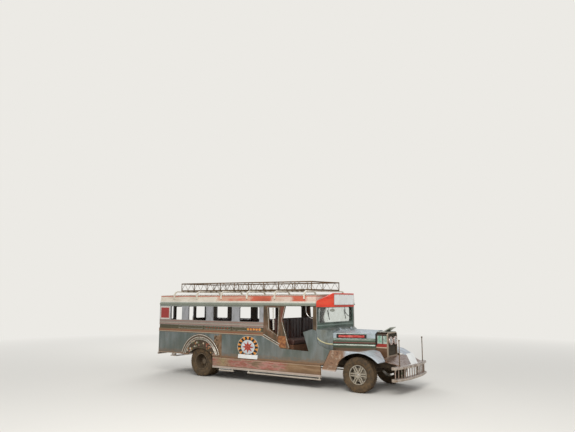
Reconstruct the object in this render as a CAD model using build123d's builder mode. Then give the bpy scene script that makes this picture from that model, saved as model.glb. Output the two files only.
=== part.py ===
from build123d import *
import os
from math import cos, radians, sin

# Jeepney, a long-bodied open-sided passenger vehicle. Millimetres, X forward, Y left, Z up.
# The origin is on the ground, in the middle of the vehicle's length and width.

# Reach in front of the front axle, and the distance between the axles
front_overhang = 900.0
wheelbase = 4242.0

# Distances behind the front axle
hood_rear = 730.0
body_front = 841.0
firewall = 850.0
screen_front = 955.0
screen_rear = 1035.0
door_front = 1130.0
door_rear = 1860.0
pillar_rear = door_rear + 470.0

# Side windows from front to rear: the post in front of each window, and the window's width
window_table = ((120.0, 585.0), (225.0, 600.0), (220.0, 600.0), (220.0, 400.0))
rear_quarter = 400.0
rear_bar_reach = 100.0
body_rear = pillar_rear + sum(post + width for post, width in window_table) + rear_quarter
rear_end = body_rear + rear_bar_reach
overall_length = front_overhang + rear_end

# Distances in front of the front axle
shell_rear = 130.0
shell_front = 395.0

# Half widths
body_half = 900.0
gutter_half = body_half + 15.0
hood_rear_half = 555.0
hood_front_half = 268.0
wheel_face_y = body_half - 38.0
frame_half = wheel_face_y - 522.0

# Tyres
front_tyre_width = 205.0
twin_tyre_width = 190.0
twin_gap = 36.0

# Heights above the ground
tyre_radius = 350.0
rail_bottom_z = 470.0
skirt_bottom_z = 257.0
skirt_top_z = 500.0
sill_rear_z = 778.0
sill_front_z = 754.0
fender_z = 806.0
belt_z = 1030.0
cowl_z = 1215.0
window_bottom_z = 1333.0
window_top_z = 1668.0
gutter_z = 1708.0
band_top_z = 1929.0
roof_top_z = 1962.0
rack_top_z = 2250.0

# Plate thicknesses and clearances
wall = 30.0
sheet = 12.0
rail_width = 60.0
rail_height = 100.0
floor_thickness = 20.0
running_gap = 6.0
pin_gap = 0.05
seat_gap = 0.3
# how far a piece runs into the one it is welded to, and a cut past the face it opens
weld = 1.0

front_axle_x = overall_length / 2 - front_overhang
rear_axle_x = front_axle_x - wheelbase
inner_half = body_half - wall
rail_top_z = rail_bottom_z + rail_height
floor_z = rail_top_z + floor_thickness


def behind(distance):
    """X of a place, from its distance behind the front axle."""
    return front_axle_x - distance


def side_plane(y):
    """Plane across the body: its sketch runs forward and up, and extrudes to the right."""
    return Plane(origin=(0, y, 0), x_dir=(1, 0, 0), z_dir=(0, -1, 0))


def cross_plane(x):
    """Plane facing forward: its sketch runs left and up."""
    return Plane(origin=(x, 0, 0), x_dir=(0, 1, 0), z_dir=(1, 0, 0))


os.makedirs("parts", exist_ok=True)


def save(part, node):
    part.label = node
    export_step(part, f"parts/{node}.step")


# Ladder frame: two box rails and the cross members between them
frame_rear = body_rear - 60.0
frame_front = 640.0
cross_width = 60.0
cross_height = 60.0
radiator_station = -235.0
cross_stations = (
    frame_rear - cross_width / 2,
    wheelbase + 558.0,
    wheelbase - 602.0,
    2600.0,
    1650.0,
    radiator_station,
    cross_width / 2 - frame_front,
)

with BuildPart() as chassis_frame:
    rail_length = frame_rear + frame_front
    with Locations((behind(frame_rear) + rail_length / 2, 0, rail_bottom_z + rail_height / 2)):
        with GridLocations(0, 2 * frame_half, 1, 2):
            Box(rail_length, rail_width, rail_height)
    for station in cross_stations:
        with Locations((behind(station), 0, rail_top_z - cross_height / 2)):
            Box(cross_width, 2 * frame_half, cross_height)
save(chassis_frame.part, "chassis_frame")

# Floor pan, with a domed tub over each pair of rear wheels
tub_radius = 430.0
tub_gap = 22.0
tub_inner_y = wheel_face_y - 2 * twin_tyre_width - twin_gap - tub_gap

with BuildPart() as floor:
    with BuildSketch(Plane.XY.offset(rail_top_z)):
        with BuildLine():
            Polyline(
                (behind(body_rear - wall), -inner_half),
                (behind(firewall), -inner_half),
                (behind(firewall), inner_half),
                (behind(body_rear - wall), inner_half),
                close=True,
            )
        make_face()
    extrude(amount=floor_thickness)
    with BuildSketch(side_plane(-tub_inner_y)):
        with Locations((rear_axle_x, tyre_radius)):
            Circle(tub_radius)
    extrude(amount=inner_half - tub_inner_y, mode=Mode.SUBTRACT)
    with BuildSketch(side_plane(-tub_inner_y)):
        with Locations((rear_axle_x, tyre_radius)):
            Circle(tub_radius)
            Circle(tub_radius - sheet, mode=Mode.SUBTRACT)
        with Locations((rear_axle_x, rail_top_z)):
            Rectangle(2 * tub_radius, tub_radius * 2, align=(Align.CENTER, Align.MAX), mode=Mode.SUBTRACT)
    extrude(amount=inner_half - tub_inner_y)
    with BuildSketch(side_plane(-tub_inner_y + sheet)):
        with Locations((rear_axle_x, tyre_radius)):
            Circle(tub_radius)
        with Locations((rear_axle_x, rail_top_z)):
            Rectangle(2 * tub_radius, tub_radius * 2, align=(Align.CENTER, Align.MAX), mode=Mode.SUBTRACT)
    extrude(amount=sheet)
    split(bisect_by=Plane.XZ, keep=Keep.TOP)
    mirror(about=Plane.XZ)
save(floor.part, "floor")

# Front axle beam, its spring seats and the kingpin bosses at its ends
kingpin_y = wheel_face_y - 252.0
kingpin_radius = 12.0
beam_depth = 50.0
beam_height = 60.0
boss_radius = 30.0
boss_height = 80.0
leaf_width = 60.0
spring_seat_rise = 6.0
axle_tube_radius = 46.0
front_spring_z = tyre_radius + beam_height / 2 + spring_seat_rise
rear_spring_z = tyre_radius + axle_tube_radius + spring_seat_rise

with BuildPart() as front_axle:
    with Locations((front_axle_x, 0, tyre_radius)):
        Box(beam_depth, 2 * kingpin_y, beam_height)
    with Locations((front_axle_x, kingpin_y, tyre_radius), (front_axle_x, -kingpin_y, tyre_radius)):
        Cylinder(boss_radius, boss_height)
        Cylinder(kingpin_radius + pin_gap, boss_height, mode=Mode.SUBTRACT)
    with Locations((front_axle_x, frame_half, tyre_radius), (front_axle_x, -frame_half, tyre_radius)):
        Box(
            2 * beam_depth,
            leaf_width,
            front_spring_z - tyre_radius,
            align=(Align.CENTER, Align.CENTER, Align.MIN),
        )
save(front_axle.part, "front_axle")

# Steering knuckle: a fork round the axle boss, a spindle, a backing plate and a steering arm
ear_height = 34.0
ear_gap = 1.0
fork_web = 30.0
spindle_radius = 22.0
spindle_end_y = wheel_face_y - 50.0
plate_y = wheel_face_y - 178.0
plate_radius = 140.0
arm_length = 180.0
arm_width = 36.0
arm_height = 20.0
ball_radius = 10.0
ball_length = 34.0
fork_z = boss_height / 2 + ear_gap
web_y = kingpin_y + boss_radius + running_gap
arm_top_z = tyre_radius - fork_z - (ear_height - arm_height) / 2

with BuildPart() as knuckle_left:
    for low_z in (tyre_radius + fork_z, tyre_radius - fork_z - ear_height):
        with BuildSketch(Plane.XY.offset(low_z)):
            with Locations((front_axle_x, kingpin_y)):
                Circle(boss_radius)
                Rectangle(2 * boss_radius, web_y + fork_web - kingpin_y, align=(Align.CENTER, Align.MIN))
        extrude(amount=ear_height)
    with Locations((front_axle_x, web_y + fork_web / 2, tyre_radius)):
        Box(2 * boss_radius, fork_web, 2 * (fork_z + ear_height))
    with Locations((front_axle_x, kingpin_y, tyre_radius)):
        Cylinder(kingpin_radius, 2 * (fork_z + ear_height))
    with BuildSketch(Plane.XZ.offset(-web_y)):
        with Locations((front_axle_x, tyre_radius)):
            Circle(spindle_radius)
    extrude(amount=-(spindle_end_y - web_y))
    with BuildSketch(Plane.XZ.offset(-plate_y)):
        with Locations((front_axle_x, tyre_radius)):
            Circle(plate_radius)
    extrude(amount=-running_gap)
    with BuildSketch(Plane.XY.offset(arm_top_z)):
        with Locations((front_axle_x - arm_length / 2, kingpin_y)):
            SlotCenterToCenter(arm_length, arm_width)
    extrude(amount=-arm_height)
    with Locations((front_axle_x - arm_length, kingpin_y, arm_top_z - arm_height)):
        Cylinder(ball_radius, ball_length, align=(Align.CENTER, Align.CENTER, Align.MAX))
save(knuckle_left.part, "knuckle_left")

with BuildPart() as knuckle_right:
    mirror(knuckle_left.part, about=Plane.XZ)
save(knuckle_right.part, "knuckle_right")

# Tie rod: a tube between two eyes that hang on the arms' pins
eye_radius = 20.0
eye_height = 24.0
tie_tube_radius = 11.0
open_eye_gap = 1.0
tie_z = arm_top_z - arm_height - ear_gap - eye_height / 2

with BuildPart() as tie_rod:
    with BuildSketch(Plane.XZ.offset(-kingpin_y)):
        with Locations((front_axle_x - arm_length, tie_z)):
            Circle(tie_tube_radius)
    extrude(amount=2 * kingpin_y)
    with Locations(
        (front_axle_x - arm_length, kingpin_y, tie_z),
        (front_axle_x - arm_length, -kingpin_y, tie_z),
    ):
        Cylinder(eye_radius, eye_height)
    with Locations((front_axle_x - arm_length, kingpin_y, tie_z)):
        Cylinder(ball_radius + pin_gap, eye_height, mode=Mode.SUBTRACT)
    with Locations((front_axle_x - arm_length, -kingpin_y, tie_z)):
        Cylinder(ball_radius + open_eye_gap, eye_height, mode=Mode.SUBTRACT)
save(tie_rod.part, "tie_rod")

# Leaf springs: three stacked leaves, an eye at each end and a hanger up to the rail
# station behind the front axle, half length, height of the seat, rise to the eyes
leaf_springs_table = ((0.0, 480.0, front_spring_z, 40.0), (wheelbase, 560.0, rear_spring_z, 26.0))
leaf_thickness = 8.0
leaf_shares = (1.0, 0.7, 0.42)
spring_eye_radius = 14.0
hanger_length = 50.0
clamp_length = 120.0
clamp_height = 14.0

with BuildPart() as leaf_springs:
    for station, half_length, seat_z, rise in leaf_springs_table:
        bend = (half_length**2 + rise**2) / (2 * rise)
        top_z = seat_z + len(leaf_shares) * leaf_thickness
        for number, share in enumerate(leaf_shares):
            with BuildSketch(side_plane(-frame_half + leaf_width / 2)):
                with Locations((behind(station), top_z + bend)):
                    Circle(bend + (number + 1) * leaf_thickness)
                    Circle(bend + number * leaf_thickness, mode=Mode.SUBTRACT)
                with Locations((behind(station), seat_z)):
                    Rectangle(2 * half_length * share, 2 * rail_bottom_z, mode=Mode.INTERSECT)
                    Rectangle(
                        2 * half_length,
                        rail_bottom_z - seat_z,
                        align=(Align.CENTER, Align.MIN),
                        mode=Mode.INTERSECT,
                    )
            extrude(amount=leaf_width)
        for end in (-1, 1):
            with BuildSketch(side_plane(-frame_half + leaf_width / 2)):
                with Locations((behind(station) + end * half_length, top_z + rise)):
                    Circle(spring_eye_radius)
                    Rectangle(
                        hanger_length,
                        rail_bottom_z - top_z - rise,
                        align=(Align.CENTER, Align.MIN),
                    )
            extrude(amount=leaf_width)
        with Locations((behind(station), -frame_half, top_z - weld)):
            Box(clamp_length, leaf_width, clamp_height, align=(Align.CENTER, Align.CENTER, Align.MIN))
    mirror(about=Plane.XZ)
save(leaf_springs.part, "leaf_springs")

# Wheels and tyres, seen as sections through the axle line: across and out from the axle
rim_radius = 192.0
rim_wall = 14.0
tyre_belly_drop = 8.0
tyre_shoulder = 22.0


def axle_section(axle_x):
    """Plane through an axle line, its sketch running left and up from the axle."""
    return Plane(origin=(axle_x, 0, tyre_radius), x_dir=(0, 1, 0), z_dir=(1, 0, 0))


def tyre_points(outer_y, width):
    """Half section of a tyre whose outer side wall is at outer_y."""
    middle = outer_y - width / 2
    bead = rim_radius + seat_gap
    belly = (bead + tyre_radius) / 2 - tyre_belly_drop
    # share of the half width, height above the axle
    corners = ((0.82, bead), (1.0, belly), (0.94, tyre_radius - tyre_shoulder), (0.78, tyre_radius))
    right = [(middle + share * width / 2, height) for share, height in corners]
    left = [(middle - share * width / 2, height) for share, height in reversed(corners)]
    return right + left


with BuildPart() as front_tyre_left:
    with BuildSketch(axle_section(front_axle_x)):
        with BuildLine():
            Polyline(*tyre_points(wheel_face_y, front_tyre_width), close=True)
        make_face()
    revolve(axis=Axis((front_axle_x, 0, tyre_radius), (0, 1, 0)))
save(front_tyre_left.part, "front_tyre_left")

with BuildPart() as front_tyre_right:
    mirror(front_tyre_left.part, about=Plane.XZ)
save(front_tyre_right.part, "front_tyre_right")

with BuildPart() as rear_tyres_left:
    for outer_y in (wheel_face_y, wheel_face_y - twin_tyre_width - twin_gap):
        with BuildSketch(axle_section(rear_axle_x)):
            with BuildLine():
                Polyline(*tyre_points(outer_y, twin_tyre_width), close=True)
            make_face()
        revolve(axis=Axis((rear_axle_x, 0, tyre_radius), (0, 1, 0)))
save(rear_tyres_left.part, "rear_tyres_left")

with BuildPart() as rear_tyres_right:
    mirror(rear_tyres_left.part, about=Plane.XZ)
save(rear_tyres_right.part, "rear_tyres_right")

# Front wheel: cast alloy with six pairs of spokes, on a hub and brake drum
spoke_pairs = 6
spoke_width = 24.0
spoke_offset = 21.0
spoke_depth = 30.0
spoke_face_y = wheel_face_y - 24.0
hub_radius = 60.0
drum_radius = 138.0
drum_depth = 85.0
drum_y = plate_y + 2 * running_gap
rim_inset = 12.0
hub_nose = 14.0

with BuildPart() as front_wheel_left:
    with BuildSketch(axle_section(front_axle_x)):
        with Locations((wheel_face_y - rim_inset, rim_radius)):
            Rectangle(front_tyre_width - 2 * rim_inset, rim_wall, align=(Align.MAX, Align.MAX))
        with Locations((spoke_face_y + hub_nose, 0)):
            Rectangle(spoke_face_y + hub_nose - drum_y, hub_radius, align=(Align.MAX, Align.MIN))
        with Locations((drum_y, 0)):
            Rectangle(drum_depth, drum_radius, align=(Align.MIN, Align.MIN))
    revolve(axis=Axis((front_axle_x, 0, tyre_radius), (0, 1, 0)))
    with BuildSketch(Plane(origin=(front_axle_x, spoke_face_y, tyre_radius), x_dir=(1, 0, 0), z_dir=(0, -1, 0))):
        with PolarLocations(0, spoke_pairs):
            with Locations(
                ((hub_radius + rim_radius) / 2 - rim_wall, spoke_offset),
                ((hub_radius + rim_radius) / 2 - rim_wall, -spoke_offset),
            ):
                Rectangle(rim_radius - hub_radius + rim_wall, spoke_width)
    extrude(amount=spoke_depth)
    with BuildSketch(axle_section(front_axle_x)):
        Rectangle(spindle_end_y + running_gap, spindle_radius + pin_gap, align=(Align.MIN, Align.MIN))
    revolve(axis=Axis((front_axle_x, 0, tyre_radius), (0, 1, 0)), mode=Mode.SUBTRACT)
save(front_wheel_left.part, "front_wheel_left")

with BuildPart() as front_wheel_right:
    mirror(front_wheel_left.part, about=Plane.XZ)
save(front_wheel_right.part, "front_wheel_right")

# Rear wheels: two pressed steel wheels back to back, the outer one deeply dished
disc_thickness = 24.0
disc_y = wheel_face_y - twin_tyre_width - twin_gap / 2
rear_drum_radius = 135.0
rear_plate_y = disc_y - 172.0
rear_spindle_radius = 35.0
rear_hub_radius = 62.0
rear_hub_reach = 90.0
rear_hub_end_y = disc_y + rear_hub_reach
hand_holes = 8
hand_hole_radius = 15.0
hand_hole_ring = 156.0
hub_cap = 30.0

with BuildPart() as rear_wheels_left:
    with BuildSketch(axle_section(rear_axle_x)):
        with Locations((wheel_face_y - rim_inset, rim_radius)):
            Rectangle(2 * (wheel_face_y - rim_inset - disc_y), rim_wall, align=(Align.MAX, Align.MAX))
        with Locations((disc_y, 0)):
            Rectangle(disc_thickness, rim_radius - rim_wall / 2, align=(Align.CENTER, Align.MIN))
        with Locations((rear_hub_end_y, 0)):
            Rectangle(rear_hub_end_y - disc_y, rear_hub_radius, align=(Align.MAX, Align.MIN))
        with Locations((rear_plate_y + 2 * running_gap, 0)):
            Rectangle(disc_y - rear_plate_y - 2 * running_gap, rear_drum_radius, align=(Align.MIN, Align.MIN))
    revolve(axis=Axis((rear_axle_x, 0, tyre_radius), (0, 1, 0)))
    with BuildSketch(axle_section(rear_axle_x)):
        Rectangle(rear_hub_end_y - hub_cap, rear_spindle_radius + pin_gap, align=(Align.MIN, Align.MIN))
    revolve(axis=Axis((rear_axle_x, 0, tyre_radius), (0, 1, 0)), mode=Mode.SUBTRACT)
    with BuildSketch(Plane(origin=(rear_axle_x, disc_y, tyre_radius), x_dir=(1, 0, 0), z_dir=(0, -1, 0))):
        with PolarLocations(hand_hole_ring, hand_holes):
            Circle(hand_hole_radius)
    extrude(amount=disc_thickness, both=True, mode=Mode.SUBTRACT)
save(rear_wheels_left.part, "rear_wheels_left")

with BuildPart() as rear_wheels_right:
    mirror(rear_wheels_left.part, about=Plane.XZ)
save(rear_wheels_right.part, "rear_wheels_right")

# Rear axle: tubes, the round differential housing, its pinion nose and the backing plates
housing_radius = 150.0
housing_bulge = 128.0
pinion_length = 250.0
pinion_radius = 55.0
spindle_slack = 6.0
rear_spindle_end_y = rear_hub_end_y - hub_cap - spindle_slack

with BuildPart() as rear_axle:
    with BuildSketch(axle_section(rear_axle_x)):
        Rectangle(2 * (rear_plate_y + running_gap), axle_tube_radius, align=(Align.CENTER, Align.MIN))
        Rectangle(2 * rear_spindle_end_y, rear_spindle_radius, align=(Align.CENTER, Align.MIN))
        with Locations((rear_plate_y, 0), (-rear_plate_y - running_gap, 0)):
            Rectangle(running_gap, rear_drum_radius, align=(Align.MIN, Align.MIN))
    revolve(axis=Axis((rear_axle_x, 0, tyre_radius), (0, 1, 0)))
    with BuildSketch(axle_section(rear_axle_x)):
        with BuildLine():
            Line((-housing_radius, 0), (housing_radius, 0))
            ThreePointArc((-housing_radius, 0), (0, housing_bulge), (housing_radius, 0))
        make_face()
    revolve(axis=Axis((rear_axle_x, 0, tyre_radius), (0, 1, 0)))
    with BuildSketch(cross_plane(rear_axle_x)):
        with Locations((0, tyre_radius)):
            Circle(pinion_radius)
    extrude(amount=pinion_length)
    with Locations((rear_axle_x, frame_half, tyre_radius), (rear_axle_x, -frame_half, tyre_radius)):
        Box(
            clamp_length,
            leaf_width,
            rear_spring_z - tyre_radius,
            align=(Align.CENTER, Align.CENTER, Align.MIN),
        )
save(rear_axle.part, "rear_axle")

# Engine and gearbox as one plain block, carried on the rails by two mounts
engine_rear = 690.0
engine_front = 90.0
engine_half = 200.0
engine_top_z = 990.0
engine_bottom_z = 410.0
gearbox_rear = 1500.0
gearbox_half = 110.0
gearbox_bottom_z = 395.0
gearbox_top_z = 540.0
mount_height = 40.0
mount_length = 90.0
shaft_drop = 25.0
shaft_z = (gearbox_bottom_z + gearbox_top_z) / 2 - shaft_drop

with BuildPart() as engine_block:
    with Locations((behind(engine_rear), 0, engine_bottom_z)):
        Box(
            engine_rear + engine_front,
            2 * engine_half,
            engine_top_z - engine_bottom_z,
            align=(Align.MIN, Align.CENTER, Align.MIN),
        )
    with Locations((behind(gearbox_rear), 0, gearbox_bottom_z)):
        Box(
            gearbox_rear - engine_rear,
            2 * gearbox_half,
            gearbox_top_z - gearbox_bottom_z,
            align=(Align.MIN, Align.CENTER, Align.MIN),
        )
    with Locations((behind(engine_rear / 2), 0, rail_bottom_z + rail_height / 2)):
        Box(mount_length, 2 * (frame_half - rail_width / 2), mount_height)
save(engine_block.part, "engine_block")

# Propeller shaft from the gearbox down to the pinion nose
shaft_radius = 32.0
yoke_radius = 46.0
yoke_length = 60.0
shaft_start = Vector(behind(gearbox_rear), 0, shaft_z)
shaft_end = Vector(rear_axle_x + pinion_length, 0, tyre_radius)
shaft_run = shaft_end - shaft_start
shaft_plane = Plane(origin=shaft_start, z_dir=shaft_run)
tilt_slack = yoke_radius * (shaft_start.Z - shaft_end.Z) / shaft_run.length + seat_gap

with BuildPart() as propeller_shaft:
    with BuildSketch(shaft_plane.offset(tilt_slack)):
        Circle(shaft_radius)
    extrude(amount=shaft_run.length - 2 * tilt_slack)
    for start in (tilt_slack, shaft_run.length - tilt_slack - yoke_length):
        with BuildSketch(shaft_plane.offset(start)):
            Circle(yoke_radius)
        extrude(amount=yoke_length)
save(propeller_shaft.part, "propeller_shaft")

# Fuel tank under the floor, between the left rail and the side skirt
tank_front = 2500.0
tank_length = 800.0
tank_half_inner = frame_half + rail_width / 2
tank_width = 330.0
tank_height = 220.0
tank_corner = 35.0

with BuildPart() as fuel_tank:
    with Locations((behind(tank_front), tank_half_inner, rail_top_z)):
        Box(tank_length, tank_width, tank_height, align=(Align.MAX, Align.MIN, Align.MAX))
    fillet(fuel_tank.edges().filter_by(Axis.X), tank_corner)
save(fuel_tank.part, "fuel_tank")

# Exhaust: pipe and silencer along the right of the frame, hung from the floor
exhaust_y = -frame_half - 130.0
exhaust_z = 420.0
exhaust_radius = 24.0
silencer_radius = 80.0
silencer_length = 560.0
exhaust_front = 1350.0
exhaust_rear = wheelbase - 892.0
strap_inset = 150.0
strap_stations = (exhaust_front + strap_inset, exhaust_rear - strap_inset)
strap_width = 40.0
strap_thickness = 6.0

with BuildPart() as exhaust:
    with BuildSketch(cross_plane(behind(exhaust_rear))):
        with Locations((exhaust_y, exhaust_z)):
            Circle(exhaust_radius)
    extrude(amount=exhaust_rear - exhaust_front)
    with BuildSketch(cross_plane(behind((exhaust_rear + exhaust_front + silencer_length) / 2))):
        with Locations((exhaust_y, exhaust_z)):
            Circle(silencer_radius)
    extrude(amount=silencer_length)
    for station in strap_stations:
        with Locations((behind(station), exhaust_y, exhaust_z)):
            Box(
                strap_width,
                strap_thickness,
                rail_top_z - exhaust_z,
                align=(Align.CENTER, Align.CENTER, Align.MIN),
            )
save(exhaust.part, "exhaust")

# Side walls: seams shared by the wall, the window frame and the door pillar
# distance behind the front axle, height
slope_start = (pillar_rear + 40.0, belt_z)
slope_end = (door_rear + 60.0, 850.0)
sill_rear = (door_rear, sill_rear_z)
sill_front = (door_front, sill_front_z)
cowl_corner = (door_front + 140.0, 1150.0)
cowl_peak = (screen_rear + 5.0, cowl_z)
cowl_crest = (screen_front, 1190.0)
cowl_neck = (screen_front - 30.0, 1040.0)
cowl_flare = (screen_front - 60.0, 925.0)
cowl_foot = (screen_front - 155.0, 866.0)
fender_foot = (815.0, 400.0)
fender_shoulder = (602.0, fender_z)
fender_lean = (fender_foot[0] - fender_shoulder[0]) / (fender_shoulder[1] - fender_foot[1])
fender_gap = 8.0
fender_corner = (fender_shoulder[0] + fender_gap, fender_z)
skirt_corner = (fender_foot[0] - fender_lean * (skirt_top_z - fender_foot[1]) + fender_gap, skirt_top_z)
arch_half = 405.0
arch_top_z = 668.0
arch_trim_radii = (590.0, 650.0)
trim_width = 26.0
trim_proud = 8.0
trim_top_gap = 12.0


def at(seam):
    """Sketch point of a seam given as a distance behind the front axle and a height."""
    return (behind(seam[0]), seam[1])


with BuildPart() as side_panel_right:
    with BuildSketch(side_plane(-inner_half)):
        with BuildLine():
            Polyline(
                (behind(body_rear), belt_z),
                (behind(body_rear), skirt_top_z),
                at(skirt_corner),
                at(fender_corner),
                at(cowl_foot),
            )
            ThreePointArc(at(cowl_foot), at(cowl_flare), at(cowl_neck))
            Polyline(
                at(cowl_neck),
                at(cowl_crest),
                at(cowl_peak),
                at(cowl_corner),
                at(sill_front),
                at(sill_rear),
                at(slope_end),
                at(slope_start),
                (behind(body_rear), belt_z),
            )
        make_face()
        with BuildLine():
            Line((rear_axle_x - arch_half, skirt_top_z - weld), (rear_axle_x + arch_half, skirt_top_z - weld))
            ThreePointArc(
                (rear_axle_x - arch_half, skirt_top_z - weld),
                (rear_axle_x, arch_top_z),
                (rear_axle_x + arch_half, skirt_top_z - weld),
            )
        make_face(mode=Mode.SUBTRACT)
    extrude(amount=wall)
    with BuildSketch(side_plane(-body_half)):
        for radius in arch_trim_radii:
            with Locations((rear_axle_x, tyre_radius)):
                Circle(radius)
                Circle(radius - trim_width, mode=Mode.SUBTRACT)
        with Locations((rear_axle_x, skirt_top_z)):
            Rectangle(
                2 * max(arch_trim_radii),
                belt_z - skirt_top_z - trim_top_gap,
                align=(Align.CENTER, Align.MIN),
                mode=Mode.INTERSECT,
            )
    extrude(amount=trim_proud)
save(side_panel_right.part, "side_panel_right")

with BuildPart() as side_panel_left:
    mirror(side_panel_right.part, about=Plane.XZ)
save(side_panel_left.part, "side_panel_left")

# Side skirts with the step strip along their lower edge and the step pipe on hangers under it
skirt_rear = wheelbase - arch_half
strip_height = 17.0
strip_depth = 70.0
pipe_radius = 16.0
pipe_drop = 62.0
# distances behind the front axle: rear end, front end
pipe_runs = ((skirt_rear - 200.0, skirt_rear - 640.0), (2780.0, body_front + 4.0))
hanger_width = 30.0

with BuildPart() as side_skirts:
    with BuildSketch(side_plane(-inner_half)):
        with BuildLine():
            Polyline(
                (behind(body_front), skirt_bottom_z),
                (behind(body_front), skirt_top_z),
                (behind(skirt_rear), skirt_top_z),
                (behind(skirt_rear), skirt_bottom_z),
                close=True,
            )
        make_face()
    extrude(amount=wall)
    with Locations((behind(body_front), -body_half + strip_depth, skirt_bottom_z)):
        Box(
            skirt_rear - body_front,
            strip_depth,
            strip_height,
            align=(Align.MAX, Align.MAX, Align.MAX),
        )
    for run_rear, run_front in pipe_runs:
        with BuildSketch(cross_plane(behind(run_rear))):
            with Locations((-body_half + pipe_radius, skirt_bottom_z - pipe_drop)):
                Circle(pipe_radius)
        extrude(amount=run_rear - run_front)
        for end in (run_rear - hanger_width, run_front + hanger_width):
            with Locations((behind(end), -body_half + pipe_radius, skirt_bottom_z - strip_height)):
                Box(
                    hanger_width,
                    pipe_radius,
                    pipe_drop - strip_height,
                    align=(Align.CENTER, Align.CENTER, Align.MAX),
                )
    mirror(about=Plane.XZ)
save(side_skirts.part, "side_skirts")

# Window frames: belt rail, ornament channel, sill band, pillars and header of each side
window_corner = 30.0
frame_wall = 40.0
belt_rail_height = 80.0
belt_proud = 8.0
channel_low_z = 1122.0
channel_high_z = 1202.0
channel_depth = 12.0

with BuildPart() as window_frame_right:
    with BuildSketch(side_plane(-body_half + frame_wall)):
        with BuildLine():
            Polyline(
                (behind(body_rear), belt_z),
                (behind(pillar_rear), belt_z),
                (behind(pillar_rear), gutter_z),
                (behind(body_rear), gutter_z),
                close=True,
            )
        make_face()
        window_front = pillar_rear
        for post, width in window_table:
            window_front += post
            with Locations((behind(window_front + width / 2), (window_bottom_z + window_top_z) / 2)):
                RectangleRounded(
                    width,
                    window_top_z - window_bottom_z,
                    window_corner,
                    mode=Mode.SUBTRACT,
                )
            window_front += width
    extrude(amount=frame_wall)
    with BuildSketch(side_plane(-body_half + channel_depth)):
        with Locations((behind((body_rear + pillar_rear) / 2), (channel_low_z + channel_high_z) / 2)):
            Rectangle(body_rear - pillar_rear, channel_high_z - channel_low_z)
    extrude(amount=channel_depth, mode=Mode.SUBTRACT)
    with BuildSketch(side_plane(-body_half)):
        with Locations((behind((body_rear + pillar_rear) / 2), belt_z)):
            Rectangle(
                body_rear - pillar_rear, belt_rail_height, align=(Align.CENTER, Align.MIN)
            )
    extrude(amount=belt_proud)
save(window_frame_right.part, "window_frame_right")

with BuildPart() as window_frame_left:
    mirror(window_frame_right.part, about=Plane.XZ)
save(window_frame_left.part, "window_frame_left")

# Door pillars, each with the narrow window behind the door and a kinked front edge
pillar_top = (door_rear - 125.0, gutter_z)
pillar_kink = (door_rear - 40.0, 1390.0)
pillar_foot = (door_rear - 230.0, 795.0)
narrow_window = (
    (pillar_rear - 130.0, 1660.0),
    (door_rear + 55.0, 1660.0),
    (door_rear + 75.0, 1060.0),
    (pillar_rear - 165.0, 1190.0),
)
slope_share = (pillar_rear - slope_end[0]) / (slope_start[0] - slope_end[0])
pillar_seam = (pillar_rear, slope_end[1] + slope_share * (slope_start[1] - slope_end[1]))
sill_share = (door_rear - pillar_foot[0]) / (door_rear - door_front)
sill_seam = (pillar_foot[0], sill_rear_z + sill_share * (sill_front_z - sill_rear_z))

with BuildPart() as door_pillars:
    with BuildSketch(side_plane(-body_half + frame_wall)):
        with BuildLine():
            Polyline(
                (behind(pillar_rear), gutter_z),
                at(pillar_seam),
                at(slope_end),
                at(sill_rear),
                at(sill_seam),
                at(pillar_foot),
                at(pillar_kink),
                at(pillar_top),
                close=True,
            )
        make_face()
        with BuildLine():
            Polyline(*[at(corner) for corner in narrow_window], close=True)
        make_face(mode=Mode.SUBTRACT)
    extrude(amount=frame_wall)
    mirror(about=Plane.XZ)
save(door_pillars.part, "door_pillars")

# Cowl: the body narrows from its full width to the hood, over the footwell
cowl_rear_z = cowl_z
cowl_front_z = 1185.0
hood_gap = 8.0
cowl_corner_radius = 60.0
cowl_bottom_z = fender_z + 50.0
cowl_rear_half = inner_half
cowl_nose = 40.0
crown = 25.0
hinge_y = 250.0
hinge_barrel = 50.0
hinge_lug = 16.0
hinge_radius = 10.0
hinge_pin_radius = 5.0
hinge_rise = 12.0
hinge_leaf = 28.0
hinge_x = behind(hood_rear) + hood_gap / 2
hinge_z = cowl_front_z + crown + hinge_rise

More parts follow.
